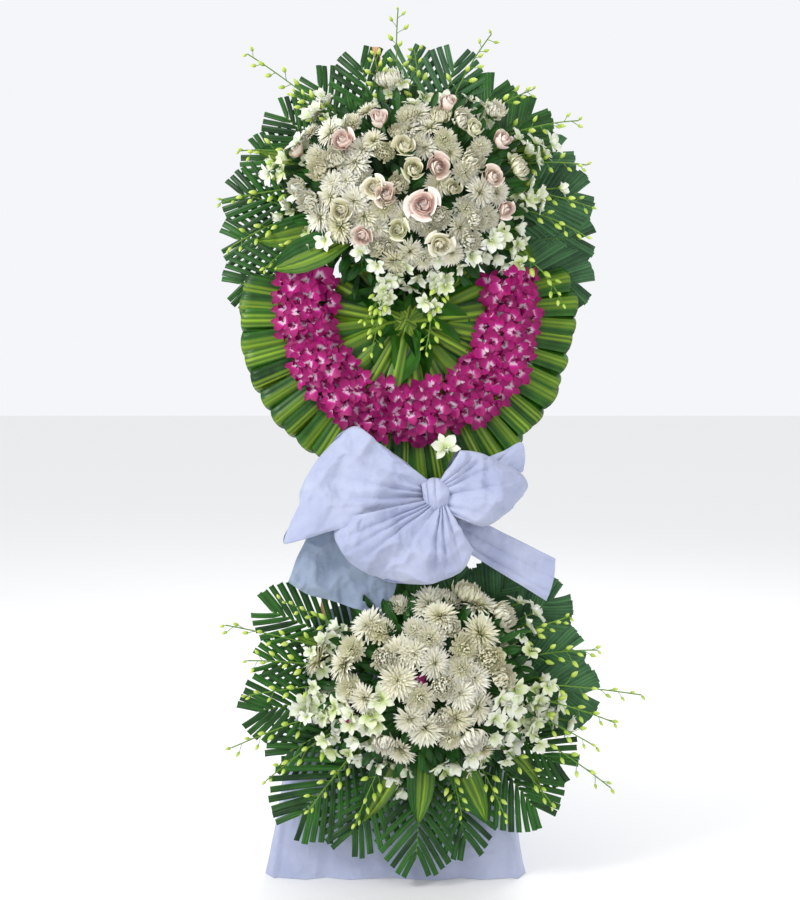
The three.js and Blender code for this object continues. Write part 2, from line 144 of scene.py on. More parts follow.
# %% Floor, world and lamps
def studio():
    half = 12
    floor_mesh = bpy.data.meshes.new("studio_floor")
    floor_mesh.from_pydata([(-half, -half, 0), (half, -half, 0), (half, half, 0), (-half, half, 0)],
                           [], [(0, 1, 2, 3)])
    floor = bpy.data.objects.new("studio_floor", floor_mesh)
    floor.location.z = -0.0005
    bpy.context.scene.collection.objects.link(floor)
    floor_mesh.materials.append(new_material("studio_floor_paint", Base_Color="f3f3f2", Roughness=0.9)[0])
    world = bpy.data.worlds.new("studio_room")
    world.use_nodes = True
    world.node_tree.nodes["Background"].inputs[0].default_value = linear("f7f8fb")
    world.node_tree.nodes["Background"].inputs[1].default_value = 0.98
    bpy.context.scene.world = world
    for name, spot, size, watts in (
        ("key_lamp", (-2.3, -1.9, 2.6), 1.0, 58),
        ("fill_lamp", (2.3, -2.2, 1.7), 1.8, 8),
        ("rim_lamp", (0.6, 2.0, 2.9), 1.4, 30),
    ):
        lamp = bpy.data.lights.new(name, "AREA")
        lamp.size = size
        lamp.energy = watts
        holder = bpy.data.objects.new(name, lamp)
        holder.location = spot
        aim = Vector((0, 0, 0.95)) - Vector(spot)
        holder.rotation_euler = aim.to_track_quat("-Z", "Y").to_euler()
        bpy.context.scene.collection.objects.link(holder)


studio()

# %% [markdown]
# ## Materials for living things
# A petal or leaf is thin, so light passes into it; subsurface scattering gives that soft edge. Each mesh
# carries three attributes that the materials read: `along` runs from base to tip, `across` from one edge
# to the other, and `tone` is one number for each flower or leaf, so that no two are quite the same colour.

# %% Petals
def petal_material(name, heart_to_tip, other, roughness=0.55, vein_mm=1.5):
    """A petal: two runs of colour from heart to tip, mixed by the flower's tone, and fine veins in relief."""
    material, tree, shader = new_material(
        name, Roughness=roughness, Subsurface_Weight=0.3, Subsurface_Radius=(0.006, 0.005, 0.004),
        Subsurface_Scale=0.5, Specular_IOR_Level=0.3)
    along = add_node(tree, "ShaderNodeAttribute", attribute_name="along")
    tone = add_node(tree, "ShaderNodeAttribute", attribute_name="tone")
    place_on = add_node(tree, "ShaderNodeTexCoord").outputs["Object"]
    petal = add_node(tree, "ShaderNodeValToRGB", {"Fac": along}, heart_to_tip)
    tint = add_node(tree, "ShaderNodeValToRGB", {"Fac": along}, other)
    flower = add_node(tree, "ShaderNodeMix", {0: tone, 6: petal, 7: tint}, data_type="RGBA")
    cloud = add_node(tree, "ShaderNodeTexNoise", {"Vector": place_on, "Scale": 60, "Detail": 2})
    patches = add_node(tree, "ShaderNodeValToRGB", {"Fac": cloud}, [(0.3, 0.88), (0.65, 1.0)])
    colour = add_node(tree, "ShaderNodeMix", {0: 1.0, 6: flower, 7: patches}, data_type="RGBA",
                      blend_type="MULTIPLY")
    veins = add_node(tree, "ShaderNodeTexNoise", {"Vector": place_on, "Scale": 1 / (vein_mm * MM), "Detail": 1})
    relief = add_node(tree, "ShaderNodeBump", {"Height": veins, "Strength": 0.3, "Distance": 0.0005})
    tree.links.new(colour.outputs[2], shader.inputs["Base Color"])
    tree.links.new(relief.outputs[0], shader.inputs["Normal"])
    return material


# Dendrobium petals are thick and velvety, with a pale heart that gives each bloom its star.
orchid_magenta = petal_material("magenta_dendrobium_petal", [
    (0.0, "fff6fb"), (0.22, "fbdcee"), (0.36, "d2309e"), (0.5, "ae0672"), (1.0, "9c0262")],
    [(0.0, "fbe8f4"), (0.2, "efb0d8"), (0.36, "a00668"), (1.0, "7e044c")], 0.5)
orchid_white = petal_material("white_dendrobium_petal", [
    (0.0, "a8c03c"), (0.2, "d8e4a8"), (0.45, "eef2e0"), (1.0, "f4f6ee")],
    [(0.0, "9ab432"), (0.3, "c8d88a"), (0.7, "e6edca"), (1.0, "eef2da")])
# Chrysanthemum florets are matt and cream white, and yellower where they crowd at the heart.
mum_white = petal_material("chrysanthemum_floret", [
    (0.0, "a9b060"), (0.22, "e4e3c0"), (0.6, "f6f4e2"), (1.0, "faf8ee")],
    [(0.0, "a4a850"), (0.3, "dcdcae"), (0.7, "f2efd2"), (1.0, "f6f3dc")])
# Rose petals are satin: a dusky pink heart, and cream rims. The other tint turns some of them greenish.
rose_petal = petal_material("rose_petal", [
    (0.0, "d09c98"), (0.35, "ecc4bc"), (0.7, "f8e0d6"), (1.0, "fdf2e8")],
    [(0.0, "b8c46c"), (0.35, "dee6ac"), (0.7, "f2f2d0"), (1.0, "faf8e4")], 0.5)
# Closed buds and stems are waxy, so they keep a small highlight.
bud_green = petal_material("orchid_bud_skin", [(0.0, "8db336"), (0.5, "c3d85e"), (1.0, "dcea8c")],
                           [(0.0, "7fa52c"), (0.6, "abc94c"), (1.0, "c4d870")], 0.4)
stem_green = petal_material("orchid_stem_skin", [(0.0, "6d9434"), (1.0, "8aac44")],
                            [(0.0, "5c842c"), (1.0, "7c9c3c")], 0.48)


# %% Leaves
def leaf_material(name, dark, light, stripe, stripe_stops, ribs, roughness=0.36):
    """A ribbed leaf: two greens that drift into each other, long stripes, ribs that run to the tip, and painted
    shade in the furrows between the ribs.
    """
    material, tree, shader = new_material(
        name, Roughness=roughness, Specular_IOR_Level=0.3, Subsurface_Weight=0.05,
        Subsurface_Radius=(0.003, 0.006, 0.001), Subsurface_Scale=0.4)
    across = add_node(tree, "ShaderNodeAttribute", attribute_name="across")
    tone = add_node(tree, "ShaderNodeAttribute", attribute_name="tone")
    place_on = add_node(tree, "ShaderNodeTexCoord").outputs["Object"]
    cloud = add_node(tree, "ShaderNodeTexNoise", {"Vector": place_on, "Scale": 28, "Detail": 3})
    level = add_node(tree, "ShaderNodeMath", {0: tone, 1: 0.5, 2: cloud}, operation="MULTIPLY_ADD")
    greens = add_node(tree, "ShaderNodeValToRGB", {"Fac": level}, [(0.4, dark), (1.0, light)])
    drift = add_node(tree, "ShaderNodeMath", {0: tone, 1: 0.2, 2: across}, operation="MULTIPLY_ADD")
    bands = add_node(tree, "ShaderNodeValToRGB", {"Fac": drift}, stripe_stops)
    striped = add_node(tree, "ShaderNodeMix", {0: bands, 6: greens, 7: stripe}, data_type="RGBA")
    turns = add_node(tree, "ShaderNodeMath", {0: across, 1: ribs * 2 * math.pi}, operation="MULTIPLY")
    rib = add_node(tree, "ShaderNodeMath", {0: turns}, operation="SINE")
    # Painted shade: the colour is darkened in the furrows between the ribs, on top of the bump.
    furrow_painted_shade = add_node(tree, "ShaderNodeValToRGB", {"Fac": rib}, [(0.0, 0.72), (0.5, 1.0)])
    colour = add_node(tree, "ShaderNodeMix", {0: 1.0, 6: striped, 7: furrow_painted_shade}, data_type="RGBA",
                      blend_type="MULTIPLY")
    relief = add_node(tree, "ShaderNodeBump", {"Height": rib, "Strength": 0.5, "Distance": 0.0006})
    tree.links.new(colour.outputs[2], shader.inputs["Base Color"])
    tree.links.new(relief.outputs[0], shader.inputs["Normal"])
    return material


PLAIN = [(0.0, 0.0), (1.0, 0.0)]
SONG = [(0.0, 0.0), (0.34, 0.0), (0.42, 0.55), (0.5, 0.1), (0.56, 0.8), (0.66, 0.15), (0.74, 0.45), (0.8, 0.0)]
EDGED = [(0.0, 0.0), (0.5, 0.0), (0.62, 0.7), (0.72, 0.1), (0.82, 0.85), (0.95, 0.2)]
# Palm leaflets are satin and tough, and the back of one is greyer and duller than its face.
palm_green = leaf_material("areca_palm_leaflet", "103710", "306c20", "000000", PLAIN, 2, 0.42)
palm_blue = leaf_material("areca_palm_underside", "234a2a", "487a4a", "000000", PLAIN, 2, 0.5)
# Striped dracaena leaves have yellow-green bands down the middle, and a fine rib every few millimetres.
song_leaf = leaf_material("striped_dracaena_leaf", "0f3608", "336c16", "98ba2c", SONG, 6)
broad_leaf = leaf_material("broad_dracaena_leaf", "0e3410", "2a641c", "8cae2c", EDGED, 8)

# %% [markdown]
# ## Materials for what the florist made
# The bow and skirt are spun-bonded cloth: fibres pressed into a matt sheet, lavender white, with a fine
# speckle and no weave. The battens are bare softwood, and the foam is wet, dark green and full of holes.

# %% Cloth, wood, foam and cord
def cloth_material(name, lit, shaded):
    """Spun-bonded cloth: no thread at all, a fine speckle of fibres and faint wandering dents, over broad patches
    of painted light and shade.
    """
    material, tree, shader = new_material(name, Roughness=0.82, Specular_IOR_Level=0.25, Sheen_Weight=0.15,
                                          Sheen_Roughness=0.5, Subsurface_Weight=0.12,
                                          Subsurface_Radius=(0.003, 0.003, 0.004), Subsurface_Scale=0.5)
    place_on = add_node(tree, "ShaderNodeTexCoord").outputs["Object"]
    # Painted light and shade: broad noise patches blend the lit and the shaded tone.
    drift = add_node(tree, "ShaderNodeTexNoise", {"Vector": place_on, "Scale": 9, "Detail": 3})
    colour = add_node(tree, "ShaderNodeValToRGB", {"Fac": drift}, [(0.3, shaded), (0.62, lit)])
    fibre_mm = 1.4
    fibres = add_node(tree, "ShaderNodeTexNoise", {"Vector": place_on, "Scale": 1 / (fibre_mm * MM), "Detail": 2})
    crinkle_mm = 22
    bent = add_node(tree, "ShaderNodeTexNoise", {"Vector": place_on, "Scale": 20, "Detail": 2})
    warped = add_node(tree, "ShaderNodeMix", {0: 0.06, 6: place_on, 7: bent.outputs["Color"]}, data_type="RGBA")
    crinkles = add_node(tree, "ShaderNodeTexVoronoi", {"Vector": warped, "Scale": 1 / (crinkle_mm * MM)})
    height = add_node(tree, "ShaderNodeMath", {0: crinkles, 1: 5.0, 2: fibres}, operation="MULTIPLY_ADD")
    relief = add_node(tree, "ShaderNodeBump", {"Height": height, "Strength": 0.4, "Distance": 0.0011})
    tree.links.new(colour.outputs[0], shader.inputs["Base Color"])
    tree.links.new(relief.outputs[0], shader.inputs["Normal"])
    return material


def grained_material(name, dark, light, stretch, roughness, dent):
    """Wood, foam or cord: noise pulled long along Z, in colour and in relief."""
    material, tree, shader = new_material(name, Roughness=roughness, Specular_IOR_Level=0.3)
    place_on = add_node(tree, "ShaderNodeTexCoord").outputs["Object"]
    pulled = add_node(tree, "ShaderNodeMapping", {"Vector": place_on, "Scale": stretch})
    grain = add_node(tree, "ShaderNodeTexNoise", {"Vector": pulled, "Scale": 1.0, "Detail": 4})
    colour = add_node(tree, "ShaderNodeValToRGB", {"Fac": grain}, [(0.35, dark), (0.65, light)])
    relief = add_node(tree, "ShaderNodeBump", {"Height": grain, "Strength": 0.5, "Distance": dent})
    tree.links.new(colour.outputs[0], shader.inputs["Base Color"])
    tree.links.new(relief.outputs[0], shader.inputs["Normal"])
    return material


bow_cloth = cloth_material("lavender_spunbond_bow", "b6bdd6", "a0a8c6")
# Painted shade: the left tail hangs behind the puff and the left loop, so it gets a greyer, darker copy of the
# bow cloth.
tail_cloth_painted_shade = cloth_material("grey_spunbond_tail", "9aa8bd", "8695ab")
skirt_cloth = cloth_material("lavender_spunbond_skirt", "b6bdd6", "a2aac6")
soft_wood = grained_material("planed_softwood", "b98a5e", "dcb68a", (420, 420, 14), 0.6, 0.0004)
wet_foam = grained_material("soaked_floral_foam", "16280f", "3a5a2c", (900, 900, 900), 0.85, 0.0008)
jute_cord = grained_material("twisted_jute_cord", "7d6a4a", "b39d74", (700, 700, 300), 0.9, 0.0004)

for node, material in [("leg_front_left", soft_wood), ("leg_front_right", soft_wood), ("leg_back", soft_wood),
                       ("rail_low", soft_wood), ("rail_high", soft_wood), ("stretcher", soft_wood),
                       ("foam_upper", wet_foam), ("foam_lower", wet_foam), ("foam_bar_left", wet_foam),
                       ("foam_bar_bottom", wet_foam), ("foam_bar_right", wet_foam)]:
    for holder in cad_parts[node].material_slots:
        holder.material = material

# %% [markdown]
# ## Geometry Nodes: copies on points
# Leaflets on a rib, blooms on a horseshoe and buds on a stem are all one shape repeated with a new place,
# turn and size. This tree reads those from attributes on bare points. It ends in Realize Instances, because
# copies have to be real geometry, and in Set Material.

# %% The tree that sets copies on points
def socket_id(tree, name):
    return next(i.identifier for i in tree.interface.items_tree if i.name == name and i.in_out == "INPUT")


def group_tree(name, sockets):
    tree = bpy.data.node_groups.new(name, "GeometryNodeTree")
    tree.interface.new_socket("Geometry", in_out="OUTPUT", socket_type="NodeSocketGeometry")
    for label, kind in sockets:
        tree.interface.new_socket(label, in_out="INPUT", socket_type="NodeSocket" + kind)
    return tree, tree.nodes.new("NodeGroupInput").outputs


def finish_tree(tree, geometry, given):
    real = add_node(tree, "GeometryNodeRealizeInstances", {"Geometry": geometry})
    painted = add_node(tree, "GeometryNodeSetMaterial", {"Geometry": real, "Material": given["Material"]})
    add_node(tree, "NodeGroupOutput", {0: painted})
    return tree


def copies_tree():
    tree, given = group_tree("copies_on_points", [("Geometry", "Geometry"), ("Shape", "Object"),
                                                  ("Material", "Material")])
    turn = add_node(tree, "GeometryNodeInputNamedAttribute", {"Name": "turn"}, data_type="FLOAT_VECTOR")
    size = add_node(tree, "GeometryNodeInputNamedAttribute", {"Name": "size"}, data_type="FLOAT_VECTOR")
    rotation = add_node(tree, "FunctionNodeEulerToRotation", {"Euler": turn})
    shape = add_node(tree, "GeometryNodeObjectInfo", {"Object": given["Shape"]})
    put = add_node(tree, "GeometryNodeInstanceOnPoints", {
        "Points": given["Geometry"], "Instance": shape.outputs["Geometry"], "Rotation": rotation, "Scale": size})
    return finish_tree(tree, put, given)


# %% [markdown]
# ## Geometry Nodes: a flower head by the golden angle
# Chrysanthemum florets grow one after another, each turned 137.5 degrees from the last. The tree repeats
# that rule: the distance from the heart grows with the square root of the number, and the florets lean
# further out and get longer towards the rim.

# %% The tree that grows a flower head
GOLDEN = math.radians(137.508)


def head_tree():
    tree, given = group_tree("golden_head", [
        ("Florets", "Int"), ("Floret", "Object"), ("Heart Radius", "Float"), ("Dome", "Float"),
        ("Inner Lean", "Float"), ("Outer Lean", "Float"), ("Inner Size", "Float"), ("Outer Size", "Float"),
        ("Jitter", "Float"), ("Seed", "Int"), ("Material", "Material")])

    def jitter(offset, scale):
        seed = add_node(tree, "ShaderNodeMath", {0: given["Seed"], 1: offset}, operation="ADD")
        value = add_node(tree, "FunctionNodeRandomValue", {2: -scale, 3: scale, "Seed": seed}, data_type="FLOAT")
        return add_node(tree, "ShaderNodeMath", {0: value, 1: given["Jitter"]}, operation="MULTIPLY")

    index = add_node(tree, "GeometryNodeInputIndex")
    share = add_node(tree, "ShaderNodeMath", {0: index, 1: given["Florets"]}, operation="DIVIDE")
    rank = add_node(tree, "ShaderNodeMath", {0: share}, operation="SQRT")
    bearing = add_node(tree, "ShaderNodeMath", {0: index, 1: GOLDEN, 2: jitter(7, 1.0)}, operation="MULTIPLY_ADD")
    out = add_node(tree, "ShaderNodeMath", {0: rank, 1: given["Heart Radius"]}, operation="MULTIPLY")
    east = add_node(tree, "ShaderNodeMath", {0: bearing}, operation="COSINE")
    north = add_node(tree, "ShaderNodeMath", {0: bearing}, operation="SINE")
    fall = add_node(tree, "ShaderNodeMath", {0: 1.0, 1: share}, operation="SUBTRACT")
    spot = add_node(tree, "ShaderNodeCombineXYZ", {
        "X": add_node(tree, "ShaderNodeMath", {0: out, 1: east}, operation="MULTIPLY"),
        "Y": add_node(tree, "ShaderNodeMath", {0: out, 1: north}, operation="MULTIPLY"),
        "Z": add_node(tree, "ShaderNodeMath", {0: fall, 1: given["Dome"]}, operation="MULTIPLY")})
    points = add_node(tree, "GeometryNodePoints", {"Count": given["Florets"], "Position": spot})
    lean = add_node(tree, "ShaderNodeMapRange", {
        "Value": rank, "To Min": given["Inner Lean"], "To Max": given["Outer Lean"]})
    euler = add_node(tree, "ShaderNodeCombineXYZ", {
        "Y": add_node(tree, "ShaderNodeMath", {0: lean, 1: jitter(0, 2.0)}, operation="ADD"), "Z": bearing})
    rotation = add_node(tree, "FunctionNodeEulerToRotation", {"Euler": euler})
    length = add_node(tree, "ShaderNodeMapRange", {
        "Value": rank, "To Min": given["Inner Size"], "To Max": given["Outer Size"]})
    swing = add_node(tree, "ShaderNodeMath", {0: jitter(13, 1.0), 1: 1.0}, operation="ADD")
    size = add_node(tree, "ShaderNodeMath", {0: length, 1: swing}, operation="MULTIPLY")
    shape = add_node(tree, "GeometryNodeObjectInfo", {"Object": given["Floret"]})
    put = add_node(tree, "GeometryNodeInstanceOnPoints", {
        "Points": points, "Instance": shape.outputs["Geometry"], "Rotation": rotation, "Scale": size})
    return finish_tree(tree, put, given)


# %% [markdown]
# ## Geometry Nodes: round stems along a path
# A stem is a line with a small circle swept along it. The tree does that for every path in a mesh of bare
# edges at once, so a whole arrangement's stems are one piece.

# %% The tree that sweeps stems
def stems_tree():
    tree, given = group_tree("round_stems", [("Geometry", "Geometry"), ("Radius", "Float"), ("Sides", "Int"),
                                             ("Material", "Material")])
    lines = add_node(tree, "GeometryNodeMeshToCurve", {"Mesh": given["Geometry"]})
    ring = add_node(tree, "GeometryNodeCurvePrimitiveCircle", {"Resolution": given["Sides"],
                                                               "Radius": given["Radius"]})
    swept = add_node(tree, "GeometryNodeCurveToMesh", {"Curve": lines, "Profile Curve": ring, "Fill Caps": True})
    return finish_tree(tree, swept, given)


COPIES = copies_tree()
HEAD = head_tree()
STEMS = stems_tree()
print("node trees:", [t.name for t in (COPIES, HEAD, STEMS)])

# %% [markdown]
# ## Small helpers that hold every piece
# `mesh_object` makes a mesh with its attributes. `grow` runs a node tree on it and keeps the plain result.
# `settle` moves a finished piece from the leaning frame into the stand's frame, smooths it, and hides the
# imported parts that it stands for.

# %% Mesh helpers
def mesh_object(name, points, faces=(), edges=(), **attributes):
    mesh = bpy.data.meshes.new(name)
    mesh.from_pydata([tuple(p) for p in points], [tuple(e) for e in edges], [tuple(f) for f in faces])
    for label, values in attributes.items():
        array = np.asarray(values, np.float32)
        kind = "FLOAT_VECTOR" if array.ndim == 2 else "FLOAT"
        layer = mesh.attributes.new(label, kind, "POINT")
        layer.data.foreach_set("vector" if array.ndim == 2 else "value", array.ravel())
    made = bpy.data.objects.new(name, mesh)
    bpy.context.scene.collection.objects.link(made)
    return made


def drop(*objects):
    for o in objects:
        bpy.data.objects.remove(o, do_unlink=True)


def grow(name, source, tree, **inputs):
    """Runs a node tree on a mesh object and returns a new object with the plain mesh that it made."""
    modifier = source.modifiers.new("grow", "NODES")
    modifier.node_group = tree
    for label, value in inputs.items():
        modifier[socket_id(tree, label.replace("_", " "))] = value
    source.update_tag()
    bpy.context.view_layer.update()
    evaluated = source.evaluated_get(bpy.context.evaluated_depsgraph_get())
    mesh = bpy.data.meshes.new_from_object(evaluated)
    mesh.name = name
    made = bpy.data.objects.new(name, mesh)
    bpy.context.scene.collection.objects.link(made)
    drop(source)
    return made


def join(name, objects):
    bpy.context.view_layer.update()
    if len(objects) > 1:
        with bpy.context.temp_override(active_object=objects[0], selected_editable_objects=objects,
                                       selected_objects=objects):
            bpy.ops.object.join()
    objects[0].name = name
    objects[0].data.name = name
    return objects[0]


def triangles(made):
    made.data.calc_loop_triangles()
    return len(made.data.loop_triangles)


def settle(piece, slot, *nodes, smooth=True, leaning=True):
    if leaning:
        piece.data.transform(EASEL)
    if smooth:
        piece.data.shade_smooth()
    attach(piece, "root")
    if nodes:
        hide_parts(*nodes)
    print(piece.name, "-", triangles(piece), "triangles")
    return piece


def strip_grid(columns, rows, shape):
    """A sheet of quads: shape(u, v) gives a point for u across, -1 to 1, and v along, 0 to 1."""
    us = np.linspace(-1, 1, columns + 1)
    vs = np.linspace(0, 1, rows + 1)
    points = [shape(u, v) for v in vs for u in us]
    wide = columns + 1
    faces = [(j * wide + i, j * wide + i + 1, (j + 1) * wide + i + 1, (j + 1) * wide + i)
             for j in range(rows) for i in range(columns)]
    along = [v for v in vs for _ in us]
    across = [(u + 1) / 2 for _ in vs for u in us]
    return points, faces, along, across


def sheet_object(name, columns, rows, shape):
    points, faces, along, across = strip_grid(columns, rows, shape)
    return mesh_object(name, points, faces, along=along, across=across)


def copies(name, shape, material, spots, turns, sizes, tones):
    """One piece of many copies. Spots, turns and sizes are triples, and tones are single numbers."""
    points = mesh_object(name + "_points", spots, turn=[tuple(t) for t in turns],
                         size=[tuple(s) for s in sizes], tone=tones)
    return grow(name, points, COPIES, Shape=shape, Material=material)


def stems(name, paths, radius, material, sides=6):
    points, edges, tones = [], [], []
    for path in paths:
        start = len(points)
        points += list(path)
        tones += [0.5] * len(path)
        edges += [(i, i + 1) for i in range(start, len(points) - 1)]
    source = mesh_object(name + "_paths", points, edges=edges, tone=tones)
    return grow(name, source, STEMS, Radius=radius, Sides=sides, Material=material)


def facing(direction, spin):
    """Euler angles that turn a flower's own up, +Z, to a direction, after a spin about it."""
    quaternion = Vector(direction).to_track_quat("Z", "Y")
    return (quaternion.to_matrix() @ Matrix.Rotation(spin, 3, "Z")).to_euler()


# %% [markdown]
# ## One of each: leaflet, petal, floret and bud
# These small shapes are drawn once at about unit size and then copied hundreds of times, so each has only
# a few dozen faces. A fold or a cup in the shape does more for the eye than extra faces would.

# %% Small shapes
def bump_profile(v, widest):
    """A petal's width along its length: nothing at the base, full at `widest`, rounded at the tip."""
    if v < widest:
        return 0.25 + 0.75 * math.sin(v / widest * math.pi / 2)
    return math.cos((v - widest) / (1 - widest) * math.pi / 2 * 0.95) ** 0.75


# A palm leaflet lies along +X, folded like a shallow roof, with a blunt cut end.
leaflet = sheet_object("leaflet", 2, 4, lambda u, v: (
    v, u * 0.5 * (0.55 + 0.45 * min(1, v * 5)), (1 - abs(u)) * 0.22 - 1.1 * v * v))
# A long flat leaf along +X with a folded middle and a point.
blade = sheet_object("blade", 4, 8, lambda u, v: (
    v, u * 0.5 * min(1, 0.5 + v * 1.6) * (1 - max(0, v - 0.55) ** 2 * 4.2), abs(u) ** 1.5 * 0.22 - 0.5 * v * v))
# A chrysanthemum floret stands along +Z, is a trough, and curls back in towards the heart at its tip.
floret_in = sheet_object("floret_in", 2, 4, lambda u, v: (
    0.10 * math.sin(v * 2.2) - 0.34 * v ** 3 + 0.03 * u * u, u * 0.105 * bump_profile(v, 0.7), v - 0.16 * v ** 3))
floret_out = sheet_object("floret_out", 2, 3, lambda u, v: (
    -0.06 * math.sin(v * 3.1) - 0.03 * u * u, u * 0.092 * bump_profile(v, 0.6), v))


def teardrop(name, sides=6, rows=5):
    """A closed bud along +Z: round at the base and pinched at the tip."""
    points = [(0, 0, 0)]
    for j in range(1, rows):
        t = j / rows
        radius = 0.5 * math.sin(math.pi * t ** 0.8) ** 0.8
        points += [(radius * math.cos(2 * math.pi * i / sides), radius * math.sin(2 * math.pi * i / sides), t)
                   for i in range(sides)]
    points.append((0, 0, 1))
    ring = [[1 + j * sides + i for i in range(sides)] for j in range(rows - 1)]
    last = len(points) - 1
    faces = [(0, ring[0][(i + 1) % sides], ring[0][i]) for i in range(sides)]
    faces += [(ring[j][i], ring[j][(i + 1) % sides], ring[j + 1][(i + 1) % sides], ring[j + 1][i])
              for j in range(rows - 2) for i in range(sides)]
    faces += [(ring[-1][i], ring[-1][(i + 1) % sides], last) for i in range(sides)]
    return mesh_object(name, points, faces, along=[p[2] for p in points], across=[0.5] * len(points))


bud = teardrop("bud")


def dendrobium(name, open_angle=1.28):
    """A dendrobium bloom faces +Z: three sepals behind, two broad petals in front, a rolled lip below."""
    points, faces, along = [], [], []

    def tepal(bearing, length, width, lean, cup):
        start = len(points)
        grid, quads, steps, _ = strip_grid(2, 4, lambda u, v: (
            v * length, u * width * bump_profile(v, 0.55), cup * (u * u - 0.5) * v + math.sin(v * 2.4) * 0.12))
        turn = Matrix.Rotation(bearing, 3, "Z") @ Matrix.Rotation(lean - math.pi / 2, 3, "Y")
        points.extend(turn @ Vector(p) for p in grid)
        faces.extend(tuple(start + i for i in quad) for quad in quads)
        along.extend(steps)

    for k in range(3):
        tepal(math.radians(90 + 120 * k), 1.0, 0.26, open_angle + 0.15, 0.10)
    for k in range(2):
        tepal(math.radians(28 + 124 * k), 1.02, 0.38, open_angle, 0.16)
    tepal(math.radians(-90), 0.48, 0.20, 1.0, 0.5)
    tepal(math.radians(90), 0.2, 0.09, 0.7, 0.3)
    return mesh_object(name, points, faces, along=along, across=[0.5] * len(points))


bloom = dendrobium("bloom")
bloom_cupped = dendrobium("bloom_cupped", 0.75)
print("bloom:", triangles(bloom), "triangles; bud:", triangles(bud))

# %% [markdown]
# ## Chrysanthemum heads
# Three kinds are grown from the golden-angle tree: a dense incurved one, an open spiky one whose heart
# shows yellow, and a half-open one that is seen from the side. One head of each kind is enough, because
# every copy has its own spin, size and tilt.

# %% Grow one head of each kind
def chrysanthemum(name, florets, floret, lean, size, seed, dome=0.007):
    source = mesh_object(name + "_source", [(0, 0, 0)])
    return grow(name, source, HEAD, Florets=florets, Floret=floret, Heart_Radius=0.009, Dome=dome,
                Inner_Lean=lean[0], Outer_Lean=lean[1], Inner_Size=size[0], Outer_Size=size[1],
                Jitter=0.09, Seed=seed, Material=mum_white)


mum_dense = chrysanthemum("mum_dense", 130, floret_in, (0.05, 1.75), (0.013, 0.026), 3)
mum_spiky = chrysanthemum("mum_spiky", 120, floret_out, (0.05, 1.6), (0.012, 0.031), 5, 0.004)
mum_side = chrysanthemum("mum_side", 90, floret_in, (0.0, 0.95), (0.020, 0.034), 8)
print("heads:", [triangles(m) for m in (mum_dense, mum_spiky, mum_side)], "triangles")

# %% [markdown]
# ## Rose heads
# A rose is a stack of cupped petals, each wrapped a good way round the ones inside it. The inner ones are
# tall and tight, and the outer ones lean out and roll their rims back. So each petal is a piece of a cone
# that opens with its number. A half-open rose stops early and stays tall.

# %% Model roses petal by petal
def rose(name, petals, radius, height, opening, seed):
    rng = random.Random(seed)
    points, faces, along, across = [], [], [], []
    for k in range(petals):
        t = k / (petals - 1)
        bearing = k * GOLDEN + rng.uniform(-0.2, 0.2)
        inner = radius * (0.08 + 0.62 * t)
        flare = radius * opening * (0.46 * t ** 2.6)
        tall = height * (1.0 - 0.44 * t ** 1.2 * opening) * rng.uniform(0.95, 1.03)
        span = (3.0 - 1.7 * t) * rng.uniform(0.9, 1.1)
        roll = radius * 0.30 * t ** 1.5 * opening
        start = len(points)

        def cup(u, v):
            tip = 1 - 0.16 * abs(u) ** 2.4
            swell = math.sin(v * math.pi * (0.92 - 0.28 * t))
            curl = max(0.0, v - 0.72) / 0.28
            wave = 0.04 * radius * math.sin(3 * u + k) * v
            out = inner * (0.15 + 1.05 * swell) + flare * v ** 2.2 + roll * curl ** 1.5 + 0.05 * radius * u + wave
            angle = bearing + u * span / 2 * (0.45 + 0.55 * v ** 0.5)
            up = tall * v * tip - roll * 0.75 * curl ** 2
            return out * math.cos(angle), out * math.sin(angle), up

        grid, quads, steps, sides = strip_grid(6, 6, cup)
        points += grid
        faces += [tuple(start + i for i in quad) for quad in quads]
        along += [s * (0.78 + 0.22 * t) + 0.1 * t for s in steps]
        across += sides
    start = len(points)
    heart = bud.data
    heart_size = Vector((radius * 0.42, radius * 0.42, height * 0.98))
    points += [v.co * heart_size for v in heart.vertices]
    faces += [tuple(start + i for i in p.vertices) for p in heart.polygons]
    along += [0.35 + 0.3 * v.co.z for v in heart.vertices]
    across += [0.5] * len(heart.vertices)
    return mesh_object(name, points, faces, along=along, across=across)


rose_open = rose("rose_open", 22, 0.030, 0.036, 0.8, 1)
rose_full = rose("rose_full", 19, 0.028, 0.040, 0.5, 2)
rose_half = rose("rose_half", 16, 0.021, 0.044, 0.35, 3)
print("roses:", [triangles(r) for r in (rose_open, rose_full, rose_half)], "triangles")

# %% [markdown]
# ## Palm fronds
# An areca frond has a midrib with a row of leaflets on each side. The florist trims it to a rounded end and
# sets the fronds in two layers, so leaflets of neighbouring fronds cross like a lattice. Each leaflet here
# leaves the rib, leans towards the tip and is cut where it meets the trimmed outline.

# %% A frond in any direction
MIDRIB_RADIUS = 0.0016
BASE_LEAN, TIP_LEAN = 60, 26  # degrees between a leaflet and its rib


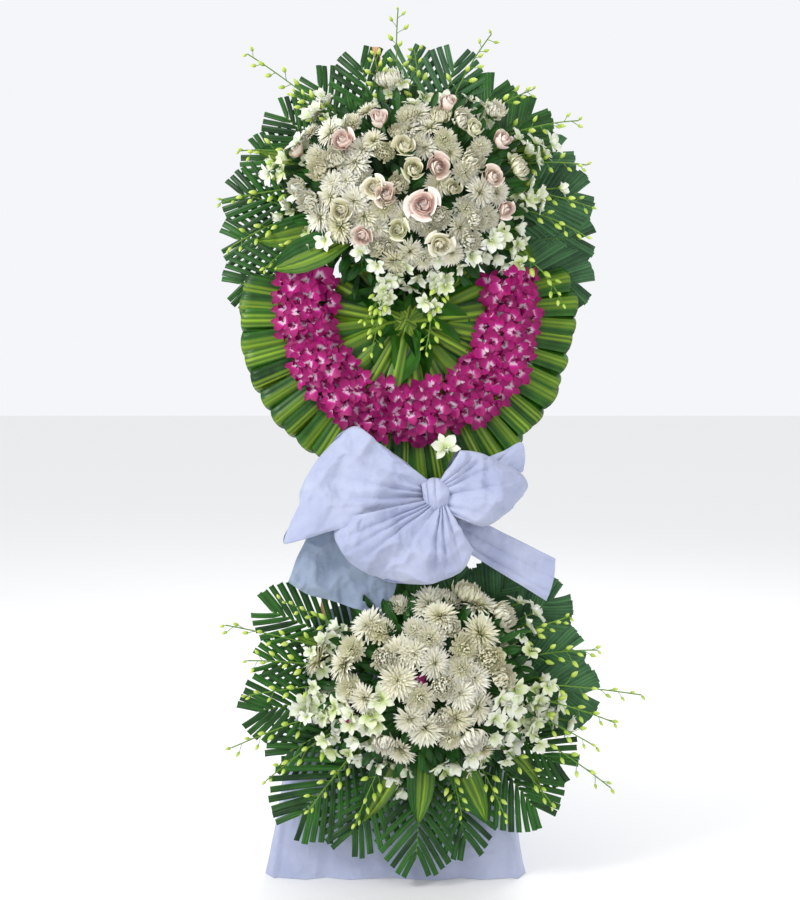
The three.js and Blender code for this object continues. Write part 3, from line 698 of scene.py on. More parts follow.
def frond_leaflets(root, axis, side, face, length, half_width, pairs, width, rng):
    """Places, turns, sizes and tones of one frond's leaflets, in the leaning frame."""
    found = []
    focus = root + axis * (length * 0.56)
    long_half, wide_half = length * 0.44, half_width
    for i in range(pairs):
        for hand in (-1, 1):
            t = (i + 0.5 + 0.25 * hand) / pairs
            spot = root + axis * (length * t * 0.84) - face * (0.006 * t * t)
            angle = math.radians(BASE_LEAN + (TIP_LEAN - BASE_LEAN) * t ** 1.6)
            direction = axis * math.cos(angle) + side * (hand * math.sin(angle))
            offset = spot - focus
            a, b = offset.dot(axis) / long_half, offset.dot(side) / wide_half
            p, q = direction.dot(axis) / long_half, direction.dot(side) / wide_half
            roots = (a * p + b * q) ** 2 - (p * p + q * q) * (a * a + b * b - 1)
            if roots <= 0:
                continue
            reach = (-(a * p + b * q) + math.sqrt(roots)) / (p * p + q * q) * rng.uniform(0.95, 1.02)
            if reach < 0.02:
                continue
            rolled = side * (hand * rng.uniform(0.05, 0.35))
            normal = (face + rolled + axis * rng.uniform(-0.12, 0.12)).normalized()
            normal = (normal - direction * normal.dot(direction)).normalized()
            turn = Matrix((direction, normal.cross(direction), normal)).transposed().to_euler()
            found.append((spot, turn, (reach, width * rng.uniform(0.85, 1.1), width), rng.random()))
    return found


def frond_piece(name, fronds, material, node, width=0.0115):
    """One or more fronds as one piece. A frond is (root, tip, half width, number of pairs, seed)."""
    leaflets, ribs = [], []
    for root, tip, half_width, count, seed in fronds:
        rng = random.Random(seed)
        span = tip - root
        axis = span.normalized()
        side = axis.cross(Vector((0, -1, 0))).normalized()
        face = side.cross(axis).normalized()
        face = face if face.y < 0 else -face
        leaflets += frond_leaflets(root, axis, side, face, span.length, half_width, count, width, rng)
        ribs.append([root + span * (t / 6 * 0.86) - face * (0.006 * (t / 6) ** 2) for t in range(7)])
    spots, turns, sizes, tones = zip(*leaflets)
    leaves = copies(name, leaflet, material, spots, turns, sizes, tones)
    midribs = stems(name + "_ribs", ribs, MIDRIB_RADIUS, stem_green, 5)
    return settle(join(name, [leaves, midribs]), "palm_leaf", node)


RING = {"w": 1279, "root": 130, "reach": 384, "first": -15, "step": 30}


def on_ring(degrees, r, d, w=RING["w"]):
    a = math.radians(degrees)
    return place(r * math.cos(a), d, w + r * math.sin(a))


# Right-hand fronds lie closed and show a bluer green; left-hand ones are open and darker.
for i in range(8):
    angle = RING["first"] + RING["step"] * i
    closed = i < 3
    reach = RING["reach"] + (22 if i in (3, 4) else 4)
    material = palm_blue if i in (0, 1, 3) else palm_green
    fronds = [(on_ring(angle, RING["root"], 9), on_ring(angle, reach, 12), 0.088, 22 if closed else 12, i)]
    if i < 7:
        behind = angle + RING["step"] / 2
        fronds.append((on_ring(behind, RING["root"], 4), on_ring(behind, reach - 6, 5), 0.088,
                       20 if closed else 12, 50 + i))
    frond_piece(f"palm_frond_ring_{i + 1}", fronds, material, f"palm_frond_upper_{i + 1}")

# %% [markdown]
# ## Fronds of the lower spray
# These reach out of the lower flowers and hang forwards a little. The left ones are open and crisp, and the
# right ones are closed and grey-green, because they show their backs.

# %% Lower fronds
LOWER = {"x": 40, "w": 400}
DROOP_SLOPE, FOAM_REACH = 0.27, 106
SECOND_LAYER = 17  # degrees between a frond and the one behind it


def below(degrees, r, d):
    a = math.radians(degrees)
    return place(LOWER["x"] + r * math.cos(a), d, LOWER["w"] + r * math.sin(a))


for name, angle, reach, half_width, pairs, material in (
    ("left_high", 156, 374, 0.080, 13, palm_green), ("left", 190, 376, 0.092, 13, palm_green),
    ("left_low", 226, 404, 0.112, 14, palm_green), ("front", 266, 384, 0.096, 13, palm_green),
    ("right_low", 310, 362, 0.100, 14, palm_green), ("right", 355, 336, 0.090, 24, palm_blue),
    ("right_high", 33, 322, 0.084, 24, palm_blue),
):
    forward = DROOP_SLOPE * (reach - FOAM_REACH)
    tip = below(angle, reach, 24 + forward)
    lattice = below(angle + SECOND_LAYER, reach * 0.93, 16 + forward)
    extra = [(below(up, 70, 6), below(up, 232, 30), 0.07, 14, 90 + up)
             for up in {"left_high": (118, 96), "right_high": (74, 54)}.get(name, ())]
    frond_piece(f"palm_frond_spray_{name}", [
        (below(angle, 100, 24), tip, half_width, pairs, len(name)),
        (below(angle + SECOND_LAYER, 100, 18), lattice, half_width * 0.85, pairs - 2, 31 + len(name)),
    ] + extra, material, f"palm_frond_lower_{name}", width=0.0125)

# %% [markdown]
# ## The folded leaf collar
# Each striped leaf is bent back on itself and tucked under the foam, which gives the collar its rounded
# scallops. In section a leaf is an arch, so light rolls over each one. The sheet below runs out along the
# front, round the fold and back in behind.

# %% Collar and fan leaves
def folded_leaf(name):
    """A leaf folded at its outer end, along +X, 1 long and lying in XY. Its arch rises along +Z."""
    bend = 0.72

    def shape(u, v):
        scallop = 1 - 0.05 * abs(u) ** 2.6
        arch = (1 - abs(u)) * 0.075
        if v <= bend:
            return (v / bend) * scallop, u * 0.13 * (0.72 + 0.28 * v / bend), arch + 0.045
        turn = (v - bend) / (1 - bend)
        if turn < 0.5:
            phi = turn * 2 * math.pi
            return (scallop + 0.035 * math.sin(phi), u * 0.13, arch + 0.01 + 0.035 * math.cos(phi))
        return (scallop - (turn - 0.5) * 0.7, u * 0.13, arch - 0.025)

    return sheet_object(name, 6, 14, shape)


collar_shape = folded_leaf("collar_shape")
COLLAR = {"w": 1121, "inner": 165, "rim": 334, "leaves": 30, "from": 165, "to": 375, "d": 19}


def collar(name, first, last, node):
    rng = random.Random(first)
    spots, turns, sizes, tones = [], [], [], []
    length = (COLLAR["rim"] - COLLAR["inner"]) * MM
    for k in range(first, last):
        degrees = COLLAR["from"] + (k + 0.5) * (COLLAR["to"] - COLLAR["from"]) / COLLAR["leaves"]
        a = math.radians(degrees + rng.uniform(-3, 3))
        axis = Vector((math.cos(a), 0, math.sin(a)))
        tilt = Vector((-math.sin(a), 0, math.cos(a)))
        normal = (Vector((0, -1, 0)) + tilt * rng.uniform(0.15, 0.55)).normalized()
        spots.append(on_ring(degrees, COLLAR["inner"], COLLAR["d"] + rng.uniform(0, 5), COLLAR["w"]))
        turns.append(Matrix((axis, normal.cross(axis), normal)).transposed().to_euler())
        stretch = rng.uniform(0.95, 1.01)
        sizes.append((length * stretch, length * rng.uniform(1.1, 1.45), length))
        tones.append(rng.random())
    return settle(copies(name, collar_shape, song_leaf, spots, turns, sizes, tones), "striped_leaf", node)


for i, part in enumerate(("left", "bottom", "right")):
    collar(f"collar_fold_{part}", 10 * i, 10 * (i + 1), f"collar_leaves_{part}")


FAN = {"w": 1112, "heart": 1}


def leaf_rosette(name, shape, angles, length, width, d, nodes, seed):
    """Leaves that leave the middle of the horseshoe in the given directions."""
    rng = random.Random(seed)
    spots, turns, sizes, tones = [], [], [], []
    for degrees in angles:
        a = math.radians(degrees)
        axis = Vector((math.cos(a), 0, math.sin(a))).normalized()
        side = Vector((-math.sin(a), 0, math.cos(a)))
        normal = axis.cross(side).normalized()
        normal = normal if normal.y < 0 else -normal
        normal = (normal + side * rng.uniform(-0.3, 0.3)).normalized()
        normal = (normal - axis * normal.dot(axis)).normalized()
        spots.append(on_ring(degrees, FAN["heart"], d + rng.uniform(0, 4), FAN["w"]))
        turns.append(Matrix((axis, normal.cross(axis), normal)).transposed().to_euler())
        sizes.append((length * rng.uniform(0.9, 1.05), width * rng.uniform(0.85, 1.15), width))
        tones.append(rng.random())
    return settle(copies(name, shape, song_leaf, spots, turns, sizes, tones), "striped_leaf", *nodes)


# Folded leaves fill the middle all round, and a few broad single ones lie over them.
leaf_rosette("folded_leaf_fan", collar_shape, [7 + 18 * k for k in range(20)], 0.163, 0.30, 24, [], 14)
leaf_rosette("striped_leaf_fan", blade, [58, 100, 150, 196, 222, 250, 285, 316, 345, 20], 0.138, 0.16, 40,
             ["fan_leaves"], 4)

# %% [markdown]
# ## Broad leaves
# A few wider dracaena leaves are tucked in at the ends of the horseshoe and among the lower flowers.
# Each is a long sheet with a pale striped edge, arched across and drooping towards its tip.

# %% Broad leaves
def broad_leaves(name, leaves, node):
    """Leaves given as (root, tip, width in metres, roll of the face to one side), as one piece."""
    spots, turns, sizes, tones = [], [], [], []
    rng = random.Random(len(name))
    for root, tip, width, roll in leaves:
        axis = (tip - root).normalized()
        side = axis.cross(Vector((0, -1, 0))).normalized()
        normal = (side.cross(axis) * -1)
        normal = (normal if normal.y < 0 else -normal) + side * roll
        normal = (normal - axis * normal.dot(axis)).normalized()
        spots.append(root)
        turns.append(Matrix((axis, normal.cross(axis), normal)).transposed().to_euler())
        sizes.append(((tip - root).length, width, width * 0.6))
        tones.append(rng.random())
    return settle(copies(name, blade, broad_leaf, spots, turns, sizes, tones), "striped_leaf", node)


broad_leaves("broad_leaf_top_left", [
    (place(-120, 112, 1262), place(-262, 122, 1208), 0.070, 0.15),
    (place(-150, 84, 1300), place(-292, 92, 1262), 0.062, -0.2),
    (place(-140, 40, 1420), place(-296, 44, 1452), 0.056, 0.1)], "broad_leaf_upper_left")
broad_leaves("broad_leaf_top_right", [
    (place(128, 60, 1310), place(246, 84, 1232), 0.062, -0.3),
    (place(140, 40, 1420), place(290, 44, 1446), 0.054, 0.1)],
    "broad_leaf_upper_right")
broad_leaves("broad_leaf_spray_left", [
    (below(246, 100, 96), below(244, 292, 128), 0.062, 0.1),
    (below(262, 100, 92), below(266, 262, 138), 0.056, -0.2),
    (below(152, 110, 80), below(160, 268, 116), 0.050, 0.2)], "broad_leaf_lower_left")
broad_leaves("broad_leaf_spray_right", [
    (below(288, 100, 90), below(292, 285, 128), 0.062, 0.2),
    (below(316, 110, 84), below(318, 288, 116), 0.050, -0.2)],
    "broad_leaf_lower_right")

# %% [markdown]
# ## The horseshoe of magenta dendrobiums
# About a hundred and forty blooms are packed petal to petal on a U of foam. Rows of points follow the U,
# and the middle rows stand further forward, so the flowers make a rounded bank. Each bloom faces away from
# the foam at its own place, with a spin of its own.

# %% Blooms along a U
SHOE = {"w": 1126, "inner": 148, "outer": 254, "middle": 200, "arm": 74, "d": 44, "crown": 44,
        "length": 776, "spacing": 28, "inset": 12}


def shoe_point(r, s):
    """A point on the U at radius r, for s from 0 at the right arm's top to 1 at the left arm's top."""
    arc = math.pi * SHOE["middle"]
    whole = arc + 2 * SHOE["arm"]
    run = s * whole
    if run < SHOE["arm"]:
        return r, SHOE["w"] + SHOE["arm"] - run, 0.0
    if run > whole - SHOE["arm"]:
        return -r, SHOE["w"] + run - (whole - SHOE["arm"]), math.pi
    a = (run - SHOE["arm"]) / arc * math.pi
    return r * math.cos(a), SHOE["w"] - r * math.sin(a), a


def shoe_blooms(part, start, stop, seed):
    rng = random.Random(seed)
    spots, turns, sizes, tones = [], [], [], []
    rows = 5
    for row in range(rows):
        share = row / (rows - 1)
        r = SHOE["inner"] + SHOE["inset"] + (SHOE["outer"] - SHOE["inner"] - 2 * SHOE["inset"]) * share
        lift = math.sqrt(max(0.0, 1 - ((share - 0.5) * 2) ** 2 * 0.8))
        count = round((stop - start) * SHOE["length"] * (r / SHOE["middle"]) / SHOE["spacing"])
        for k in range(count):
            s = start + (stop - start) * (k + 0.5 * (row % 2) + 0.3) / count
            x, w, a = shoe_point(r + rng.uniform(-7, 7), s)
            outward = Vector((math.cos(a), 0, -math.sin(a)))
            lean = (share - 0.5) * 1.1
            look = Vector((0, -1, 0)) + outward * lean + Vector((rng.uniform(-.3, .3), 0, rng.uniform(-.3, .3)))
            spots.append(place(x, SHOE["d"] + SHOE["crown"] * lift + rng.uniform(-6, 8), w))
            turns.append(facing(look, rng.uniform(0, 6.28)))
            size = rng.uniform(0.024, 0.031)
            sizes.append((size, size, size))
            tones.append(rng.random() ** 2)
    return settle(copies(f"dendrobium_bank_{part}", bloom, orchid_magenta, spots, turns, sizes, tones),
                  "purple_orchid", f"purple_orchids_{part}")


shoe_blooms("right", 0.0, 0.31, 11)
shoe_blooms("bottom", 0.31, 0.69, 12)
shoe_blooms("left", 0.69, 1.0, 13)

# %% [markdown]
# ## Stems inside a dome
# From the side a dome of flowers shows its stems: each head stands on one that is pushed into the foam.
# They lean together towards the foam, so the bundle is narrower at the back than at the front.

# %% Stems from the foam to the heads
STEM_STEPS = 14


def bowed(root, tip, bend, steps=STEM_STEPS):
    """A stem's curve: its root, a middle pushed sideways by `bend`, and its tip."""
    middle_point = (root + tip) / 2 + bend
    return [root * (1 - t) ** 2 + middle_point * (2 * t * (1 - t)) + tip * t ** 2
            for t in (i / steps for i in range(steps + 1))]


def dome_stems(name, tier, places, foam_d):
    """A stem for each place on a dome, from just under the head back to the foam at depth foam_d."""
    drawn_in_u, drawn_in_v = 0.42, 0.5
    paths = []
    for u, v in places:
        head, _ = on_dome(tier, u, v, -8)
        foot = place(tier["x"] + u * drawn_in_u, foam_d, tier["w"] + v * drawn_in_v)
        paths.append(bowed(foot, head, Vector((u * 0.0002, 0, v * 0.0002)), 5))
    return stems(name, paths, 0.0019, stem_green, 5)


# %% [markdown]
# ## The upper flower dome
# The dome is an ellipse of foam seen from the front. A florist sets the roses first, then fills between
# them with chrysanthemums and, at the rim, white dendrobiums. Each list below gives places across and up
# from the middle of the dome in millimetres, and `on_dome` gives the depth there.

# %% Places on a dome
UPPER = {"x": 0, "w": 1362, "rx": 216, "rw": 176, "base": 98, "top": 158}
UNDER = {**LOWER, "rx": 190, "rw": 156, "base": 118, "top": 206}


def on_dome(tier, u, v, lift=0.0):
    """A point on the dome, and the direction that faces out of it there."""
    a, b = u / tier["rx"], v / tier["rw"]
    inside = max(0.0, 1 - a * a - b * b)
    d = tier["base"] + (tier["top"] - tier["base"]) * math.sqrt(inside) + lift - 30 * max(0.0, a * a + b * b - 1)
    out = Vector((a * 0.75, -0.35 - math.sqrt(inside), b * 0.75)).normalized()
    return place(tier["x"] + u, d, tier["w"] + v), out


def set_heads(name, tier, heads, material, seed, wobble=0.3):
    """One piece of flower heads. Each is (shape, u, v, size, lift, tone, optional look)."""
    rng = random.Random(seed)
    pieces = []
    for shape in {head[0].name: head[0] for head in heads}.values():
        spots, turns, sizes, tones = [], [], [], []
        for head in heads:
            if head[0] is not shape:
                continue
            _, u, v, size, lift, tone, *look = head
            spot, out = on_dome(tier, u, v, lift)
            way = Vector(look[0]) if look else out
            way = way + Vector([rng.uniform(-wobble, wobble) for _ in range(3)])
            spots.append(spot)
            turns.append(facing(way, rng.uniform(0, 6.28)))
            sizes.append((size, size, size))
            tones.append(tone)
        pieces.append(copies(f"{name}_{shape.name}", shape, material, spots, turns, sizes, tones))
    return join(name, pieces)


ROSES = [
    (rose_open, 31, -44, 1.06, 4, 0.0, (0, -1, 0)), (rose_full, -121, 77, 0.95, 0, 0.05),
    (rose_half, -54, 111, 1.05, 0, 0.0), (rose_half, 173, 78, 1.05, 0, 0.0),
    (rose_full, -39, -26, 0.95, 0, 0.15), (rose_full, 50, 32, 0.98, 0, 0.1),
    (rose_full, 156, 11, 0.85, 0, 0.2), (rose_full, 180, -39, 0.8, 0, 0.1),
    (rose_full, -83, -94, 0.82, 0, 0.05), (rose_half, 71, 145, 1.0, 0, 0.1),
    (rose_full, -207, 70, 0.75, -6, 0.3), (rose_full, -10, 64, 0.92, 0, 0.85),
    (rose_full, 7, 22, 0.9, 2, 0.9), (rose_open, -63, -10, 0.8, 0, 0.7),
    (rose_full, -16, -87, 0.85, 0, 0.95), (rose_open, 60, -109, 0.86, 0, 0.75),
    (rose_half, 83, -12, 0.95, 4, 0.9), (rose_full, -125, -48, 0.86, 0, 0.8),
    (rose_half, 122, 100, 1.0, 0, 1.0),
]
ROSE_SCALE = 0.9
ROSES = [(head[0], head[1], head[2], head[3] * ROSE_SCALE, *head[4:]) for head in ROSES]
settle(join("rose_heads_and_stems", [
    set_heads("rose_heads", UPPER, ROSES, rose_petal, 21, 0.22),
    dome_stems("rose_stems", UPPER, [(head[1], head[2]) for head in ROSES], 40)]), "rose", "roses")

UPPER_MUMS = [
    (-176, 153), (-178, 59), (-144, 3), (-189, -28), (-89, 67), (-96, 20), (-102, 43), (-45, 62),
    (41, 112), (70, 86), (79, 62), (118, 44), (137, -13), (108, 24), (-170, -58), (-210, 1), (-26, -144),
    (-45, -44), (99, -80), (118, -106), (84, -129), (41, -81), (-131, -78), (-58, -117), (3, -127),
    (-121, 35), (32, 71), (99, 125), (-150, 105), (-108, 122), (0, 108), (205, 35), (-84, -60),
    (150, -62), (18, 140), (-20, 98), (-190, 110), (140, 75), (-150, -20), (60, -60), (-8, -60),
    (110, -45), (-66, 84), (-140, 48), (-120, 8), (20, 84), (58, 2), (-20, -2), (-104, -32), (30, -140),
    (-90, -96), (128, -66), (-60, -82), (0, 136), (-80, 146), (62, 128), (170, -10), (-36, -110),
    (78, -104), (-168, 30), (20, -64),
]
rng = random.Random(31)
kinds = (mum_spiky, mum_dense, mum_spiky, mum_side)
heads = [(kinds[i % 4], u, v, rng.uniform(0.7, 0.98), rng.uniform(-12, 2), rng.random() ** 2)
         for i, (u, v) in enumerate(UPPER_MUMS)]
heads += [(mum_side, -34, 205, 1.05, 4, 0.1, (-0.1, -0.55, 0.8)),
          (mum_side, 167, 147, 0.9, 2, 0.2, (0.5, -0.6, 0.6))]
upper_mums = set_heads("chrysanthemum_heads_upper", UPPER, heads, mum_white, 32)

# %% [markdown]
# ## Green filling behind the heads
# Between real flower heads the eye meets dark leaves and stems, and not a bare block. A ring of small
# leaves set into the dome at every angle gives those dark gaps.

# %% Filling leaves
def filling(name, tier, count, seed, spread=1.05, depth=34):
    rng = random.Random(seed)
    spots, turns, sizes, tones = [], [], [], []
    for k in range(count):
        t = math.sqrt((k + 0.5) / count) * spread
        a = k * GOLDEN
        spot, out = on_dome(tier, t * tier["rx"] * math.cos(a), t * tier["rw"] * math.sin(a), -depth)
        axis = (Vector((math.cos(a), 0, math.sin(a))) + out * rng.uniform(0.1, 0.9)
                + Vector([rng.uniform(-0.5, 0.5) for _ in range(3)])).normalized()
        normal = (out - axis * out.dot(axis)).normalized()
        spots.append(spot)
        turns.append(Matrix((axis, normal.cross(axis), normal)).transposed().to_euler())
        sizes.append((rng.uniform(0.028, 0.05), rng.uniform(0.012, 0.02), 0.015))
        tones.append(rng.random())
    return copies(name, blade, palm_green, spots, turns, sizes, tones)


def white_blooms(name, tier, places, seed, size=(0.022, 0.029)):
    rng = random.Random(seed)
    kinds_of_bloom = (bloom, bloom, bloom_cupped)
    heads = [(rng.choice(kinds_of_bloom), u, v, rng.uniform(*size), rng.uniform(-4, 8), rng.random() ** 2)
             for u, v in places]
    return set_heads(name, tier, heads, orchid_white, seed, 0.45)


UPPER_ORCHIDS = [
    (-176, 154), (-244, 37), (-273, 33), (267, 76), (228, 72), (218, -100), (169, -129), (121, 174),
    (13, 157), (-122, 118), (178, -91), (-230, -31), (-191, -119), (-161, -102), (-6, -153), (-45, -197),
    (42, -161), (208, -76), (257, -31), (237, 17), (296, 8), (-158, 168), (-190, 140), (-258, 52),
    (-236, 58), (248, 92), (250, 62), (282, 92), (198, -116), (186, -142), (160, -104), (-212, -14),
    (-246, -48), (-172, -130), (20, -170), (-20, -172), (6, -190), (56, -140), (140, -128), (96, -150),
    (232, -20), (250, -8), (150, 160), (-60, -150), (-92, -128), (-215, 90), (215, 100), (120, -135),
]
settle(join("chrysanthemums_and_filling_upper", [
    upper_mums, dome_stems("dome_stems_upper", UPPER, UPPER_MUMS + UPPER_ORCHIDS, 40),
    filling("filling_upper", UPPER, 300, 41), white_blooms("white_orchids_upper", UPPER, UPPER_ORCHIDS, 42)]),
    "chrysanthemum", "chrysanthemums_upper")

# %% [markdown]
# ## The lower flower dome
# The same idea as above, without roses: larger chrysanthemums in the middle and trails of white
# dendrobiums that run out to both sides, with three magenta blooms deep between them.

# %% Lower heads
LOWER_MUMS = [
    (-56, 150), (2, 154), (69, 163), (95, 150), (-94, 107), (20, 135), (38, 113), (-161, 43), (-147, 72),
    (-56, 68), (-84, 59), (-210, 47), (-19, -13), (-37, -52), (28, -52), (56, -5), (0, 96), (84, 22),
    (113, 57), (96, 102), (31, 158), (47, -52), (76, -84), (90, -34), (-150, -1), (-122, -17), (-84, -95),
    (-56, -115), (66, 77), (9, 51), (132, 19), (97, -120), (38, -92), (-9, -71), (133, 125), (-114, 116),
    (-28, 113), (-60, 20), (24, 10), (-30, 70), (60, 40),
]
rng = random.Random(51)
heads = [(kinds[(i + 1) % 4], u, v, rng.uniform(0.84, 1.16), rng.uniform(-8, 6), rng.random() ** 2)
         for i, (u, v) in enumerate(LOWER_MUMS)]
lower_mums = set_heads("chrysanthemum_heads_lower", UNDER, heads, mum_white, 52)

LOWER_ORCHIDS = [
    (-249, -54), (-226, -30), (-201, -59), (-161, -33), (-132, -55), (133, -19), (163, -4), (180, -59),
    (123, -58), (215, 8), (230, -54), (253, -40), (273, -79), (157, -117), (50, -145), (78, -132),
    (-162, 85), (176, 153), (205, 133), (-112, -47), (-93, -16), (-191, -127), (-133, -137), (97, 118),
    (-56, -204), (89, -166), (-238, -44), (-214, -48), (-180, -44), (-172, -66), (-148, -48), (-120, -68),
    (-100, -60), (-150, -70), (148, -30), (168, -38), (190, -28), (204, -44), (150, -74), (190, -82),
    (210, -70), (240, -66), (-186, 62), (-200, 78), (-176, 104), (190, 112), (-70, -150), (-40, -160),
    (-60, -180), (20, -150), (-110, -110), (-140, -100), (118, -90), (136, -100),
]
magenta = set_heads("magenta_blooms_lower", UNDER, [
    (bloom, -30, 18, 0.026, -8, 0.5), (bloom, -20, 2, 0.022, -8, 0.8), (bloom, -152, -44, 0.026, -8, 0.6)],
    orchid_magenta, 54)
settle(join("chrysanthemums_and_filling_lower", [
    lower_mums, dome_stems("dome_stems_lower", UNDER, LOWER_MUMS + LOWER_ORCHIDS, 50),
    filling("filling_lower", UNDER, 280, 61), magenta,
    white_blooms("white_orchids_lower", UNDER, LOWER_ORCHIDS, 62, (0.024, 0.031))]),
    "chrysanthemum", "chrysanthemums_lower")

# %% [markdown]
# ## Trailing orchid stems
# The thin green arcs that stand out all round are dendrobium stems. Buds sit along each on short stalks,
# smallest at the tip, and a few blooms are open near the base. A stem is a smooth curve through its root,
# a bent middle and its tip.

# %% Stems with buds
BASE_BUD, TIP_BUD = 0.027, 0.012


def bud_sprays(name, sprays, node, seed, first=0.22, buds=11, blooms=2):
    """Stems given as (root, tip, bend) in the leaning frame, with their buds and open blooms."""
    rng = random.Random(seed)
    paths, stalks, spots, turns, sizes, tones, open_blooms = [], [], [], [], [], [], []
    for root, tip, bend in sprays:
        path = bowed(root, tip, bend)
        paths.append(path)
        for k in range(buds):
            nudged = k + rng.uniform(-0.25, 0.25) * (0 < k < buds - 1)
            t = first + (1 - first) * (nudged / (buds - 1)) ** 0.9
            i = min(int(t * STEM_STEPS), STEM_STEPS - 1)
            base = path[i].lerp(path[i + 1], t * STEM_STEPS - i)
            along = (path[i + 1] - path[i]).normalized()
            across = along.cross(Vector((0, -1, 0))).normalized() * (1 if k % 2 else -1)
            way = along * rng.uniform(0.5, 1.0) + across * rng.uniform(0.1, 1.3)
            way = way + Vector((0, rng.uniform(-1.0, 0.1), 0)) + Vector((0, 0, rng.uniform(-0.7, 0.1)))
            way = way.normalized()
            size = (BASE_BUD + (TIP_BUD - BASE_BUD) * t) * rng.uniform(0.85, 1.15)
            head = base + way * size * (rng.uniform(0.5, 1.2) if k < buds - 1 else 0.1)
            stalks.append([base, base.lerp(head, 0.5) + along * 0.001, head])
            if k < blooms:
                open_blooms.append((head, way))
                continue
            spots.append(head)
            turns.append(facing(way + along * 0.3, rng.uniform(0, 6)))
            sizes.append((size * 0.5, size * 0.5, size))
            tones.append(rng.random())
    made = [copies(name, bud, bud_green, spots, turns, sizes, tones),
            stems(name + "_stems", paths, 0.0013, stem_green, 5),
            stems(name + "_stalks", stalks, 0.0007, stem_green, 4)]
    if open_blooms:
        made.append(copies(name + "_blooms", bloom, orchid_white, [b[0] for b in open_blooms],
                           [facing(b[1] + Vector((0, -1.2, 0)), rng.uniform(0, 6)) for b in open_blooms],
                           [(s, s, s) for s in (rng.uniform(0.017, 0.023) for _ in open_blooms)],
                           [rng.random() for _ in open_blooms]))
    return settle(join(name, made), "orchid_stem", node)


for name, seed, options, arcs in (
    ("top", 71, {}, (
        ((-10, 60, 1496), (-20, 88, 1716), (-14, 5, 0)), ((10, 60, 1480), (12, 76, 1640), (16, 5, 0)),
        ((-30, 60, 1480), (-66, 82, 1628), (-6, 5, 8)))),
    ("top_left", 72, {}, (
        ((-88, 60, 1462), (-314, 92, 1628), (-20, 10, 26)), ((-100, 60, 1440), (-226, 84, 1552), (-10, 8, 24)),
        ((-120, 60, 1410), (-330, 84, 1440), (-10, 8, 26)))),
    ("top_right", 73, {}, (
        ((64, 60, 1480), (163, 88, 1668), (-16, 8, 10)), ((92, 60, 1466), (244, 84, 1560), (0, 8, 20)),
        ((120, 60, 1440), (334, 80, 1500), (0, 8, 26)))),
    ("left", 74, {}, (
        ((-134, 60, 1372), (-368, 84, 1338), (0, 6, 20)), ((-134, 60, 1330), (-352, 92, 1246), (-10, 6, 30)),
        ((-120, 60, 1300), (-280, 96, 1206), (-20, 6, 24)))),
    ("right", 75, {}, (
        ((134, 60, 1372), (358, 84, 1330), (0, 6, 20)), ((134, 60, 1340), (348, 92, 1270), (10, 6, 30)),
        ((150, 70, 1270), (300, 110, 1138), (36, 10, 30)), ((140, 60, 1400), (350, 84, 1412), (0, 6, 24)))),
    ("hanging", 76, {"first": 0.3, "blooms": 3}, (
        ((-50, 100, 1232), (-72, 116, 1044), (16, 12, 0)), ((-30, 100, 1228), (-84, 108, 1104), (20, 12, 0)),
        ((34, 100, 1232), (34, 112, 1046), (22, 12, 0)), ((60, 100, 1232), (52, 112, 1128), (14, 12, 0)))),
):
    bud_sprays(f"bud_stems_{name}", [[place(*end) for end in arc] for arc in arcs],
               f"orchid_spray_upper_{name}", seed, **options)


def lower_stem(degrees, reach, bend=(0, 0, 12)):
    root_r, root_d = 104, 74
    return below(degrees, root_r, root_d), below(degrees, reach, root_d + 0.3 * (reach - root_r)), place(*bend)


for name, seed, blooms, arcs in (
    ("left_high", 81, 3, ((163, 406), (150, 330), (172, 352))),
    ("left_low", 82, 4, ((197, 394), (210, 360, (0, 0, 26)), (226, 330, (0, 0, 30)), (242, 300, (0, 0, 30)),
                         (183, 350))),
    ("right", 83, 3, ((358, 404), (12, 330, (0, 0, 20)), (26, 300), (349, 360, (0, 0, 22)))),
    ("right_low", 84, 4, ((331, 396, (0, 0, 26)), (316, 330, (0, 0, 30)), (300, 296, (0, 0, 24)),
                          (284, 260, (0, 0, 20)), (340, 340, (0, 0, 24)))),
):
    bud_sprays(f"trailing_stems_{name}", [lower_stem(*arc) for arc in arcs],
               f"orchid_spray_lower_{name}", seed, buds=12, blooms=blooms)

# %% [markdown]
# ## The cord at the top
# The three battens cross just below the top and are bound with a few turns of cord. The turns are one
# helix round them, pulled in tight.

# %% Cord binding
tie_low, tie_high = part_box("leg_tie")
tie_middle = (tie_low + tie_high) / 2
winds, wind_radius = 5, 0.0014
steps_a_turn = 24
path = []
for i in range(winds * steps_a_turn + 1):
    a = i / steps_a_turn * 2 * math.pi
    z = tie_low.z + wind_radius + (tie_high.z - tie_low.z - 2 * wind_radius) * i / (winds * steps_a_turn)
    reach = [(tie_high[n] - tie_low[n]) / 2 - wind_radius for n in (0, 1)]
    square = max(abs(math.cos(a)), abs(math.sin(a)))
    path.append(Vector((tie_middle.x + reach[0] * math.cos(a) / square ** 0.8,
                        tie_middle.y + reach[1] * math.sin(a) / square ** 0.8, z)))
settle(stems("batten_cord", [path], wind_radius, jute_cord, 6), "tie_cord", "leg_tie", leaning=False)

# %% [markdown]
# ## The bow
# The bow is one length of spun-bonded cloth, pinched at the knot. Cloth gathered at a point can only fan
# out from it, so each loop is a surface of rays from the knot to its outer fold. Pleats are deep at the knot
# and die away outwards. The sheet goes out along the front, turns at the outer fold and comes back behind.

# %% Loops of gathered cloth
KNOT = (54, 160, 763)
INWARD = 0.165  # how far a front batten slants in for each unit of height


